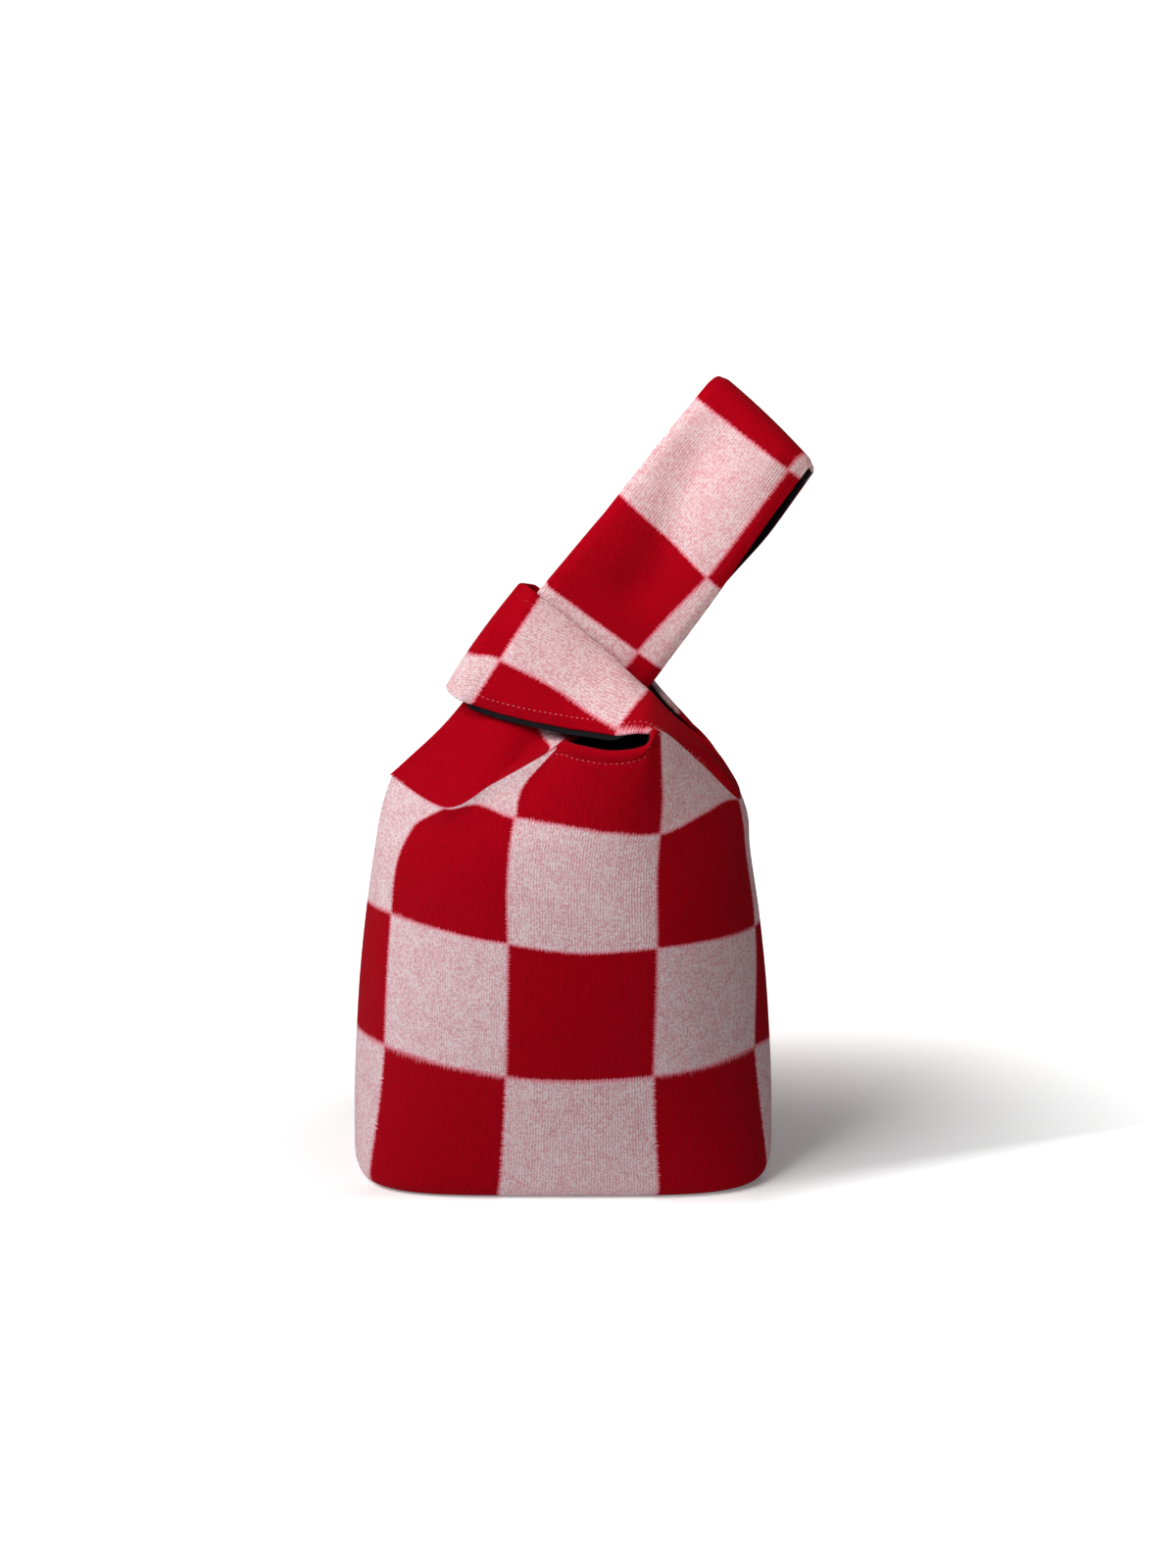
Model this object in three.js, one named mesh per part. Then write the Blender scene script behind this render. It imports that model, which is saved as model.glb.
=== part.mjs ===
// Japanese knot bag: a lined wool pouch whose long handle is passed through its short one.
// Origin: middle of the base, on the floor. The front faces -Y, the long handle leans to +X.
import * as THREE from "three";

// Driving dimensions, in millimetres unless the name says degrees.

// Cloth layers, from the outside in, and the thread
const WOOL = 2.2;
const FLEECE = 1.2;
const LINING = 0.7;
const PLY_GAP = 0.3;
const STIFFENER = 1.5;
const THREAD = 0.8;
const STITCH_INSET = 5;
const EDGE_STEP = 2;

// Pouch sections from the foot up; squareness 2 is an ellipse, 4 a rounded rectangle
const FOOT_WIDTH = 208;
const FOOT_DEPTH = 100;
const FOOT_SQUARENESS = 4;
const HEEL_HEIGHT = 14;
const HEEL_WIDTH = 218;
const HEEL_DEPTH = 111;
const HEEL_SQUARENESS = 3.4;
const BELLY_HEIGHT = 68;
const BELLY_WIDTH = 215;
const BELLY_DEPTH = 128;
const BELLY_SQUARENESS = 2.1;
const WAIST_HEIGHT = 136;
const WAIST_WIDTH = 201;
const WAIST_DEPTH = 125;
const WAIST_SQUARENESS = 1.9;
const SHOULDER_HEIGHT = 172;
const SHOULDER_WIDTH = 189;
const SHOULDER_DEPTH = 114;
const SHOULDER_SQUARENESS = 1.9;

// Rim of the pouch: height of the right side seam, width between the seams, and the lip between
const RIM_HEIGHT = 200;
const RIM_WIDTH = 176;
const LIP_RISE = 32;
const LIP_DEPTH = 94;

// Knot and long handle
const KNOT_X = 2;
const KNOT_RISE = 27;
const KNOT_SQUEEZE = 3;
const KNOT_CLEARANCE = 1.5;
const HANDLE_LEAN_DEGREES = 36.6;
const HANDLE_TWIST_DEGREES = 12;
const HANDLE_WIDTH = 72;
const HANDLE_TOP_WIDTH = 62;
const HANDLE_REACH = 163;
const HANDLE_GAP = 11.5;
const BEND_START = 20;
const BEND_LENGTH = 50;

// Short handle
const LOOP_RISE_DEGREES = 30;
const LOOP_WIDTH = 60;
const LOOP_NARROW_WIDTH = 24;
const LOOP_SLACK = 4;
const LOOP_FLARE = 28;
const ROOT_SWELL = 45;
const MOUTH_ARCH = 4.5;
const SHOULDER_ARCH = 3.5;

// Where the rim runs: share of the way from the left seam to the right seam, then x, y and rise.
// x counts in half rim widths, y in half lip depths, and rise in lip rises above the rim height.
const RIM = [
  [0, -1, -0.04, 0.22],
  [0.118, -0.65, -0.66, 0],
  [0.25, -0.38, -0.74, 0.42],
  [0.387, -0.05, -0.81, 1.06],
  [0.52, 0.25, -1, 0.98],
  [0.656, 0.545, -0.9, 1.31],
  [0.79, 0.79, -0.52, 0.62],
  [0.925, 1, -0.2, -0.06],
  [1, 1.03, -0.04, 0],
];
const LIP_LEFT = RIM[3][0];
const LIP_RIGHT = RIM[5][0];

const V = (x, y, z) => new THREE.Vector3(x, y, z);
const mix = (a, b, f) => a + (b - a) * f;
const smooth = (f) => f * f * (3 - 2 * f);
const rad = THREE.MathUtils.degToRad;

// Depths of the layers below the outer face of the wool
const FLEECE_TOP = WOOL + PLY_GAP;
const WALL_LINING_TOP = FLEECE_TOP + FLEECE + PLY_GAP;
const STRAP_LINING_TOP = WOOL + PLY_GAP;
const STRAP_STACK = STRAP_LINING_TOP + LINING;

// The value of a smooth curve through listed points, at a place counted in points
function through(points, at) {
  const last = points.length - 1;
  const i = Math.min(Math.floor(at), last - 1);
  const [a, b, c, d] = [i - 1, i, i + 1, i + 2].map((k) => points[THREE.MathUtils.clamp(k, 0, last)]);
  const f = at - i;
  const out = V(0, 0, 0);
  for (const k of ["x", "y", "z"]) {
    const m0 = (c[k] - a[k]) / 2;
    const m1 = (d[k] - b[k]) / 2;
    const [p, q] = [b[k], c[k]];
    out[k] = p + f * (m0 + f * (3 * (q - p) - 2 * m0 - m1 + f * (2 * (p - q) + m0 + m1)));
  }
  return out;
}

// One pouch section, front half, walked from the left seam to the right seam by length
function section(height, width, depth, squareness) {
  const steps = 200;
  const points = [];
  for (let i = 0; i <= steps; i++) {
    const angle = Math.PI * (1 - i / steps);
    const c = Math.cos(angle);
    const s = Math.sin(angle);
    const x = (width / 2) * Math.sign(c) * Math.abs(c) ** (2 / squareness);
    points.push(V(x, (-depth / 2) * Math.abs(s) ** (2 / squareness), height));
  }
  const lengths = [0];
  for (let i = 1; i <= steps; i++) lengths.push(lengths[i - 1] + points[i].distanceTo(points[i - 1]));
  return (share) => {
    const target = share * lengths[steps];
    const i = Math.max(1, lengths.findIndex((l) => l >= target - 1e-9));
    const f = (target - lengths[i - 1]) / (lengths[i] - lengths[i - 1]);
    return points[i - 1].clone().lerp(points[i], f);
  };
}

const FOOT_LIFT = 0.2;
const foot = section(FOOT_LIFT, FOOT_WIDTH, FOOT_DEPTH, FOOT_SQUARENESS);
const sections = [
  foot,
  section(HEEL_HEIGHT, HEEL_WIDTH, HEEL_DEPTH, HEEL_SQUARENESS),
  section(BELLY_HEIGHT, BELLY_WIDTH, BELLY_DEPTH, BELLY_SQUARENESS),
  section(WAIST_HEIGHT, WAIST_WIDTH, WAIST_DEPTH, WAIST_SQUARENESS),
  section(SHOULDER_HEIGHT, SHOULDER_WIDTH, SHOULDER_DEPTH, SHOULDER_SQUARENESS),
];
const RIM_LEVEL = sections.length;
const rimPoints = RIM.map(([, x, y, rise]) =>
  V((x * RIM_WIDTH) / 2, (y * LIP_DEPTH) / 2, RIM_HEIGHT + rise * LIP_RISE),
);

function rim(share) {
  const i = Math.max(1, RIM.findIndex(([at]) => at >= share - 1e-9));
  const f = (share - RIM[i - 1][0]) / (RIM[i][0] - RIM[i - 1][0]);
  return through(rimPoints, i - 1 + f);
}

// Side 1 is the front and side -1 the back, its mirror image
const onSide = (p, side) => V(p.x, p.y * side, p.z);

// Outer face of the pouch: level 0 is the foot, RIM_LEVEL the rim; share runs seam to seam
function pouch(side, level, share) {
  if (share < 0) return pouch(-side, level, -share);
  if (share > 1) return pouch(-side, level, 2 - share);
  const line = [...sections.map((s) => s(share)), rim(share)];
  const p = through(line, THREE.MathUtils.clamp(level, 0, RIM_LEVEL));
  p.y -= PLY_GAP / 2;
  return onSide(p, side);
}

// A patch that leaves its first row and meets its last row along given ways, between two edges
function patch({ first, leave, last, meet, edge0, edge1 }, f, j) {
  const body = (k) => {
    const p = first(k).multiplyScalar(1 - f * f * (3 - 2 * f));
    p.addScaledVector(last(k), f * f * (3 - 2 * f));
    p.addScaledVector(leave(k), f * (1 - f) * (1 - f));
    return p.addScaledVector(meet, f * f * (f - 1));
  };
  const fix0 = edge0(f).sub(body(0));
  const fix1 = edge1(f).sub(body(1));
  return body(j).addScaledVector(fix0, 1 - j).addScaledVector(fix1, j);
}

// A line between two points that swells sideways in its middle
const arched = (from, to, swell) => (f) => from.clone().lerp(to, f).addScaledVector(swell, 4 * f * (1 - f));

const ROOT_LIFT = 0.8;
const rimWay = (share) =>
  pouch(1, RIM_LEVEL, share).sub(pouch(1, RIM_LEVEL - 0.02, share)).normalize();
const onRim = (share) => pouch(1, RIM_LEVEL, share).addScaledVector(rimWay(share), ROOT_LIFT);

// Long handle, in a frame at the knot: s along it, w across to the mouth edge, n to the front
const knot = V(KNOT_X, 0, RIM_HEIGHT + LIP_RISE + KNOT_RISE);
const lean = rad(HANDLE_LEAN_DEGREES);
const along = V(Math.sin(lean), 0, Math.cos(lean));
const across = V(Math.cos(lean), 0, -Math.sin(lean));
const NECK_FACE = KNOT_SQUEEZE / 2 + STRAP_STACK;
const HANDLE_FACE = HANDLE_GAP / 2 + STRAP_STACK;
const BEND_END = BEND_START + BEND_LENGTH;
const FOLD_START = HANDLE_REACH - HANDLE_FACE;

function handle(s, j, n) {
  const f = THREE.MathUtils.clamp((s - BEND_START) / (HANDLE_REACH - BEND_START), 0, 1);
  const w = (j - 0.5) * mix(HANDLE_WIDTH, HANDLE_TOP_WIDTH, f);
  const turn = rad(HANDLE_TWIST_DEGREES) * smooth(f);
  const p = knot.clone().addScaledVector(along, s);
  p.addScaledVector(across, w * Math.cos(turn) - n * Math.sin(turn));
  p.y -= n * Math.cos(turn) + w * Math.sin(turn);
  return p;
}

// Rows of the long handle: 0 to 1 root, to 2 inside the knot, to 3 bend, to 4 strap, to 5 top fold
function longHandle(side, row, j) {
  if (row > 5) return longHandle(-side, 10 - row, j);
  if (row < 1) {
    const first = (k) => onRim(k * LIP_LEFT);
    const last = (k) => handle(0, k, NECK_FACE);
    const root = {
      first,
      last,
      leave: (k) => rimWay(k * LIP_LEFT).multiplyScalar(ROOT_SWELL),
      meet: along.clone().multiplyScalar(ROOT_SWELL),
      edge0: arched(first(0), last(0), V(0, -1, 0)),
      edge1: arched(first(1), last(1), V(0, 0, MOUTH_ARCH)),
    };
    return onSide(patch(root, row, j), side);
  }
  if (row <= 2) return handle((row - 1) * BEND_START, j, side * NECK_FACE);
  if (row <= 3) {
    const f = row - 2;
    return handle(BEND_START + f * BEND_LENGTH, j, side * mix(NECK_FACE, HANDLE_FACE, smooth(f)));
  }
  if (row <= 4) return handle(mix(BEND_END, FOLD_START, row - 3), j, side * HANDLE_FACE);
  const angle = (row - 4) * (Math.PI / 2);
  return handle(FOLD_START + HANDLE_FACE * Math.sin(angle), j, side * HANDLE_FACE * Math.cos(angle));
}

// Short handle, in its own frame at the knot: c along it to its end, d across to the upper edge
const rise = rad(LOOP_RISE_DEGREES);
const loopAlong = V(-Math.cos(rise), 0, Math.sin(rise));
const loopUp = V(Math.sin(rise), 0, Math.cos(rise));
const LOOP_FACE = NECK_FACE + KNOT_CLEARANCE + STRAP_STACK;
const LOOP_END = HANDLE_WIDTH / 2 + LOOP_SLACK;

function loop(c, j, depthShare) {
  const f = THREE.MathUtils.clamp((c + LOOP_END) / (2 * LOOP_END), 0, 1);
  const upper = mix(LOOP_NARROW_WIDTH * 0.95, LOOP_WIDTH / 2 - 1, f);
  const lower = upper - mix(LOOP_NARROW_WIDTH, LOOP_WIDTH, f);
  const face = LOOP_FACE + (1 - j) * mix(LOOP_FLARE, 2, f);
  const p = knot.clone().addScaledVector(loopAlong, c).addScaledVector(loopUp, mix(lower, upper, j));
  p.y -= face * depthShare;
  return p;
}

// Rows of the short handle: 0 to 1 root, to 2 round the knot, to 3 end fold
function shortHandle(side, row, j) {
  if (row > 3) return shortHandle(-side, 6 - row, j);
  if (row < 1) {
    const first = (k) => onRim(mix(LIP_RIGHT, 1, k));
    const last = (k) => loop(-LOOP_END, k, 1);
    const root = {
      first,
      last,
      leave: (k) => rimWay(mix(LIP_RIGHT, 1, k)).multiplyScalar(ROOT_SWELL),
      meet: loopAlong.clone().multiplyScalar(ROOT_SWELL),
      edge0: arched(first(0), last(0), V(0, 0, MOUTH_ARCH)),
      edge1: arched(first(1), last(1), V(SHOULDER_ARCH, -2, SHOULDER_ARCH)),
    };
    return onSide(patch(root, row, j), side);
  }
  if (row <= 2) return loop(mix(-LOOP_END, LOOP_END, row - 1), j, side);
  const angle = (row - 2) * (Math.PI / 2);
  return loop(LOOP_END + LOOP_FACE * Math.sin(angle), j, side * Math.cos(angle));
}

// Unit normal of a face function, pointing out of the cloth
function normalOf(face, side, row, col) {
  const e = 1e-3;
  const du = face(side, row + e, col).sub(face(side, Math.max(row - e, 0), col));
  const dv = face(side, row, col + e).sub(face(side, row, col - e));
  return dv.cross(du).normalize().multiplyScalar(side);
}

function bufferOf(points, triangles) {
  const flat = points.flatMap((p) => [p.x, p.y, p.z]);
  const geometry = new THREE.BufferGeometry();
  geometry.setAttribute("position", new THREE.Float32BufferAttribute(flat, 3));
  geometry.setIndex(triangles);
  geometry.computeVertexNormals();
  return geometry;
}

// A layer of cloth between two depths below a face, over listed rows and columns
function layer(face, side, rows, cols, from, to, { trimStart = 0, trimEnd = 0, firstNormal } = {}) {
  const grid = rows.map((row) => cols.map((col) => face(side, row, col)));
  const normals = rows.map((row, i) =>
    cols.map((col) => (i === 0 && firstNormal ? firstNormal(col) : normalOf(face, side, row, col))),
  );
  const m = rows.length - 1;
  const n = cols.length - 1;
  const shorten = (i, next, by) =>
    grid[i].forEach((p, j) => p.addScaledVector(grid[next][j].clone().sub(p).normalize(), by));
  shorten(0, 1, trimStart);
  shorten(m, m - 1, trimEnd);
  const points = [];
  for (const depth of [from, to])
    grid.forEach((line, i) =>
      line.forEach((p, j) => points.push(p.clone().addScaledVector(normals[i][j], -depth))),
    );
  const outer = (i, j) => i * (n + 1) + j;
  const inner = (i, j) => outer(i, j) + (m + 1) * (n + 1);
  const triangles = [];
  const quad = (a, b, c, d) =>
    side > 0 ? triangles.push(a, b, c, a, c, d) : triangles.push(a, c, b, a, d, c);
  for (let i = 0; i < m; i++)
    for (let j = 0; j < n; j++) {
      quad(outer(i, j), outer(i, j + 1), outer(i + 1, j + 1), outer(i + 1, j));
      quad(inner(i, j), inner(i + 1, j), inner(i + 1, j + 1), inner(i, j + 1));
    }
  const edge = (i, j, k, l) => quad(outer(i, j), inner(i, j), inner(k, l), outer(k, l));
  // Both ends are split along the same diagonal, so that a layer fits on the layer below it
  for (let j = 0; j < n; j++) {
    edge(0, j, 0, j + 1);
    quad(inner(m, j + 1), inner(m, j), outer(m, j), outer(m, j + 1));
  }
  for (let i = 0; i < m; i++) {
    edge(i, n, i + 1, n);
    edge(i + 1, 0, i, 0);
  }
  return bufferOf(points, triangles);
}

// A thread laid along listed places of a face, just clear of the wool
function thread(face, places) {
  const sides = 6;
  const r = THREAD / 2;
  const ups = places.map(([side, row, col]) => normalOf(face, side, row, col));
  const line = places.map(([side, row, col], i) =>
    face(side, row, col).addScaledVector(ups[i], PLY_GAP + r),
  );
  const points = [];
  const triangles = [];
  const last = line.length - 1;
  line.forEach((p, i) => {
    const way = line[Math.min(i + 1, last)].clone().sub(line[Math.max(i - 1, 0)]).normalize();
    const aside = way.clone().cross(ups[i]).normalize();
    const up = aside.clone().cross(way);
    for (let k = 0; k < sides; k++) {
      const a = (2 * Math.PI * k) / sides;
      const offset = up.clone().multiplyScalar(r * Math.cos(a)).addScaledVector(aside, r * Math.sin(a));
      points.push(p.clone().add(offset));
    }
  });
  const at = (i, k) => i * sides + (k % sides);
  for (let i = 0; i < last; i++)
    for (let k = 0; k < sides; k++) {
      triangles.push(at(i, k), at(i, k + 1), at(i + 1, k + 1));
      triangles.push(at(i, k), at(i + 1, k + 1), at(i + 1, k));
    }
  for (let k = 1; k < sides - 1; k++) {
    triangles.push(at(0, 0), at(0, k + 1), at(0, k));
    triangles.push(at(last, 0), at(last, k), at(last, k + 1));
  }
  return bufferOf(points, triangles);
}

const COLOURS = { wool: 0x9c1c26, lining: 0x17161a, fleece: 0xd9d4c8, board: 0x8d8a80, thread: 0xd8a9b0 };
const bag = new THREE.Group();
bag.name = "knot_bag";

function add(name, geometry, colour) {
  const material = new THREE.MeshStandardMaterial({ color: COLOURS[colour], roughness: 0.9 });
  const mesh = new THREE.Mesh(geometry, material);
  mesh.name = name;
  bag.add(mesh);
}

// Columns and rows of the pouch; the last but one row carries the stitches of the lip
const WIDE_STEP = 0.1;
const pouchCols = [];
for (let i = 1; i < RIM.length; i++) {
  const [from, to] = [RIM[i - 1][0], RIM[i][0]];
  pouchCols.push(from);
  if (to - from > WIDE_STEP) pouchCols.push(mix(from, to, 0.5));
}
pouchCols.push(1);
const lipLength = rim(RIM[4][0]).distanceTo(sections[RIM_LEVEL - 1](RIM[4][0]));
const stitchLevel = RIM_LEVEL - STITCH_INSET / lipLength;
const INNER_FIRST = 0.45;
const pouchRows = [0, INNER_FIRST, 1, 1.5, 2, 2.5, 3, 3.5, 4, 4.5, stitchLevel, RIM_LEVEL];
const innerRows = pouchRows.filter((level) => level > 0 && level !== stitchLevel);

// Flat layers of the base, inside the foot of the wool wall
function plate(bottom, thickness) {
  const inset = WOOL + 2 * PLY_GAP;
  const outline = section(0, FOOT_WIDTH - 2 * inset, FOOT_DEPTH - 2 * inset, FOOT_SQUARENESS);
  const front = pouchCols.map((share) => outline(share));
  const back = front.slice(1, -1).reverse().map((p) => onSide(p, -1));
  const shape = new THREE.Shape([...front, ...back].map((p) => new THREE.Vector2(p.x, p.y)));
  const solid = new THREE.ExtrudeGeometry(shape, { depth: thickness, bevelEnabled: false });
  return solid.translate(0, 0, bottom);
}
const stiffenerBottom = WOOL + PLY_GAP;
const liningBottom = stiffenerBottom + STIFFENER + PLY_GAP;
add("base_outer", plate(0, WOOL), "wool");
add("base_stiffener", plate(stiffenerBottom, STIFFENER), "board");
add("base_lining", plate(liningBottom, LINING), "lining");

const strapCols = (width) => [0, STITCH_INSET / width, 0.36, 0.64, 1 - STITCH_INSET / width, 1];
const longCols = strapCols(HANDLE_WIDTH);
const shortCols = strapCols(LOOP_WIDTH);
// A root stands on the rim, so it has the columns of the rim under it
const longRootCols = pouchCols.filter((share) => share <= LIP_LEFT).map((share) => share / LIP_LEFT);
const shortRootCols = pouchCols
  .filter((share) => share >= LIP_RIGHT)
  .map((share) => (share - LIP_RIGHT) / (1 - LIP_RIGHT));
const longRootRows = [0, 0.12, 0.3, 0.5, 0.7, 0.86, 1, 2];
const bendRows = [2, 2.33, 2.67, 3];
const carryRows = [3, 3.5, 4, 4.34, 4.67, 5];
const shortRootRows = [0, 0.2, 0.5, 0.8, 1];
const loopRows = [1, 1.25, 1.5, 1.75, 2, 2.34, 2.67, 3];
const seam = PLY_GAP / 2;

for (const [side, place] of [
  [1, "front"],
  [-1, "back"],
]) {
  const wall = (rows, from, to, trimEnd) => layer(pouch, side, rows, pouchCols, from, to, { trimEnd });
  add(`${place}_outer`, wall(pouchRows, 0, WOOL, 0), "wool");
  add(`${place}_interlining`, wall(innerRows, FLEECE_TOP, FLEECE_TOP + FLEECE, EDGE_STEP), "fleece");
  const liningEnd = WALL_LINING_TOP + LINING;
  add(`${place}_lining`, wall(innerRows, WALL_LINING_TOP, liningEnd, EDGE_STEP), "lining");

  const longNormal = (j) => normalOf(pouch, side, RIM_LEVEL - 1e-3, j * LIP_LEFT);
  const shortNormal = (j) => normalOf(pouch, side, RIM_LEVEL - 1e-3, mix(LIP_RIGHT, 1, j));
  const straps = [
    ["long_root", longHandle, longRootRows, longRootCols, { trimEnd: seam, firstNormal: longNormal }],
    ["bend", longHandle, bendRows, longCols, { trimStart: seam, trimEnd: seam }],
    ["carry", longHandle, carryRows, longCols, { trimStart: seam, trimEnd: seam }],
    ["short_root", shortHandle, shortRootRows, shortRootCols, { trimEnd: seam, firstNormal: shortNormal }],
    ["short_loop", shortHandle, loopRows, shortCols, { trimStart: seam, trimEnd: seam }],
  ];
  for (const [part, face, rows, cols, ends] of straps) {
    // The lining of a root starts a little above the rim, where the straps have turned off the wall
    const { firstNormal, ...plain } = ends;
    const liningRows = firstNormal ? rows.slice(1) : rows;
    add(`${part}_outer_${place}`, layer(face, side, rows, cols, 0, WOOL, ends), "wool");
    const lining = layer(face, side, liningRows, cols, STRAP_LINING_TOP, STRAP_STACK, plain);
    add(`${part}_lining_${place}`, lining, "lining");
  }

  const lipCols = pouchCols.filter((share) => share > LIP_LEFT && share < LIP_RIGHT);
  add(`lip_stitch_${place}`, thread(pouch, lipCols.map((share) => [side, stitchLevel, share])), "thread");
}

// Stitches along both edges of each loop, from the front over the fold to the back
function overFold(rows, col) {
  const front = rows.map((row) => [1, row, col]);
  const back = rows.slice(0, -1).reverse().map((row) => [-1, row, col]);
  return [...front, ...back];
}
for (const [edge, longCol, shortCol] of [
  ["mouth", longCols.at(-2), shortCols[1]],
  ["outer", longCols[1], shortCols.at(-2)],
]) {
  add(`carry_stitch_${edge}`, thread(longHandle, overFold(carryRows, longCol)), "thread");
  add(`short_loop_stitch_${edge}`, thread(shortHandle, overFold(loopRows, shortCol)), "thread");
}

export default bag;
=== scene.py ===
# %% [markdown]
# A japanese knot bag in checked felted wool, lined in black. It is one soft pouch with two handles that
# are cut in one piece with it: the long one is passed through the short one, and that closes the mouth.
# The imported model gives the frame: four bodies (the pouch, the bending length of the long handle, its
# carrying loop, and the short loop) and the joints between them. Every cloth piece below is a surface
# worked out with numpy and given a thickness; those of the pouch are hung on its body. Sizes are in
# millimetres in the formulas, and become metres where a mesh is made.

import bmesh
import bpy
import numpy as np
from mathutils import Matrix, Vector


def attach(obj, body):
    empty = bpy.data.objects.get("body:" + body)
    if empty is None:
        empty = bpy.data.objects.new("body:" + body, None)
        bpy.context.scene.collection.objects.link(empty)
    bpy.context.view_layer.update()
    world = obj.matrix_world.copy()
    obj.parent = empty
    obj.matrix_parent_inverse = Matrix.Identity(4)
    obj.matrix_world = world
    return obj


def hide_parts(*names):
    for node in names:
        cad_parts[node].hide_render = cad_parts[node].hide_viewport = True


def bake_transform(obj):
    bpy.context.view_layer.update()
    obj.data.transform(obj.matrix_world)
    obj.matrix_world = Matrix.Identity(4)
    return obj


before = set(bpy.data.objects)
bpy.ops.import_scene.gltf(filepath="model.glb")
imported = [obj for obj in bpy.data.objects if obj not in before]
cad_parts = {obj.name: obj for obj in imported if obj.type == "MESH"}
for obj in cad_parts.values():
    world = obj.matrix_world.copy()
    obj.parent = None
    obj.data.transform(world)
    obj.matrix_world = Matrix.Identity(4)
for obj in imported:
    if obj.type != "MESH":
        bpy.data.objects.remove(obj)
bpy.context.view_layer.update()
MM = 0.001

# %% [markdown]
# The camera stands where the photograph was taken from: straight in front, looking down by 17 degrees.
# The lens comes from how fast the checks shrink towards the top; the long side of the picture is upright,
# so the sensor width belongs to the height.

# %% Camera
CAMERA_PLACE = Vector((0.0130, -1.2432, 0.5827))
CAMERA_TARGET = Vector((0.0130, 0.0, 0.2026))
LENS_MM = 59.1

scene = bpy.context.scene


def add_object(name, data):
    """A new object in the scene, at the origin."""
    made = bpy.data.objects.new(name, data)
    scene.collection.objects.link(made)
    return made


camera = add_object("camera", bpy.data.cameras.new("camera"))
camera.location = CAMERA_PLACE
camera.rotation_euler = (CAMERA_TARGET - CAMERA_PLACE).to_track_quat("-Z", "Y").to_euler()
camera.data.lens = LENS_MM
camera.data.sensor_width = 36
scene.camera = camera
scene.view_settings.view_transform = "Standard"
print("camera", tuple(round(v, 3) for v in camera.location))

# %% [markdown]
# Nodes are wired with a few small tools, so that a formula in nodes still reads as a formula: `calc` is a
# Math node, `between` a soft step, `noise` a noise texture. They take sockets or plain values, and find the
# node tree through a socket.

# %% Node tools


def material_with_nodes(name):
    """A new material, its node tree and its Principled BSDF."""
    material = bpy.data.materials.new(name)
    material.use_nodes = True
    return material, material.node_tree, material.node_tree.nodes["Principled BSDF"]


def is_socket(value):
    """Whether a value comes from a node."""
    return isinstance(value, bpy.types.NodeSocket)


def link(value, target):
    """Feed a socket from another socket, or set it to a plain value."""
    if is_socket(value):
        target.id_data.links.new(value, target)
    else:
        target.default_value = value


def feed(node, **inputs):
    """Link or set inputs by their names, with underscores for spaces."""
    for name, value in inputs.items():
        link(value, node.inputs[name.replace("_", " ")])


def add_node(tree, kind, settings=(), **inputs):
    """The outputs of a new node with (name, value) settings and fed inputs."""
    node = tree.nodes.new(kind)
    for name, value in settings:
        setattr(node, name, value)
    feed(node, **inputs)
    return node.outputs


def calc(operation, *values):
    """A Math node; each value is a socket or a number."""
    tree = next(value for value in values if is_socket(value)).id_data
    node = tree.nodes.new("ShaderNodeMath")
    node.operation = operation
    for value, target in zip(values, node.inputs):
        link(value, target)
    return node.outputs[0]


def stretched(vector, scale, shift=(0, 0, 0)):
    """A vector scaled by a different number along each axis, then shifted."""
    node = vector.id_data.nodes.new("ShaderNodeVectorMath")
    node.operation = "MULTIPLY_ADD"
    for value, target in zip((vector, scale, shift), node.inputs):
        link(value, target)
    return node.outputs[0]


def split(vector):
    """The X, Y and Z sockets of a vector."""
    return add_node(vector.id_data, "ShaderNodeSeparateXYZ", Vector=vector)


def noise(vector, scale, detail=2.0):
    """Noise between 0 and 1 over a vector."""
    return add_node(vector.id_data, "ShaderNodeTexNoise", Vector=vector, Scale=scale, Detail=detail)["Fac"]


def between(value, low, high):
    """A soft step from 0 to 1 as a value goes from low to high."""
    soft = [("interpolation_type", "SMOOTHSTEP")]
    step = add_node(value.id_data, "ShaderNodeMapRange", soft, Value=value, From_Min=low, From_Max=high)
    return step["Result"]


def blend_colours(factor, first, second):
    """A colour between two colours, each a socket or a plain colour."""
    colours = [("data_type", "RGBA")]
    return add_node(factor.id_data, "ShaderNodeMix", colours, Factor=factor, A=first, B=second)["Result"]


print("node tools ready")

# %% [markdown]
# Light: one large soft lamp high on the left, as the shading of the pouch and the shadow on its right say, a
# small warm one that lifts the handles, and a weak white world. The floor runs up into a backdrop in one
# sweep. It glows for camera rays only, so that it reads as white paper without more light on the bag. The
# glow is low in a long patch beside the bag, where the shadow lies, and full in front of a slanted line.

# %% Light, world and floor
WARM = (1.0, 0.7, 0.58)
SKY_LIGHT = 0.12
WHITE, PAPER = (1, 1, 1, 1), (0.96, 0.96, 0.96, 1)
# Glow of the paper in the shadow and far from it, and where it returns: round the shadow's middle, and
# across a line in front of the bag that slants back past the bag's right corner
FLOOR_GLOW = (0.11, 1.0)
SHADOW_REACH = (0.04, 0.26)
SHADOW_SQUEEZE = (0.55, 1.0, 1.0)
SHADOW_SHIFT = (-0.022, 0.0, 0.0)
SHADOW_FRONT = (-0.085, -0.145)
SHADOW_CORNER, SHADOW_SLOPE = 0.1, 0.48
# The backdrop from front to back: y and z
SWEEP = [(-4.0, 0.0), (1.6, 0.0), (2.2, 0.09), (2.6, 0.35), (2.8, 0.8), (2.8, 4.0)]
SWEEP_SIDES = (-5.0, 5.0)


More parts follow.
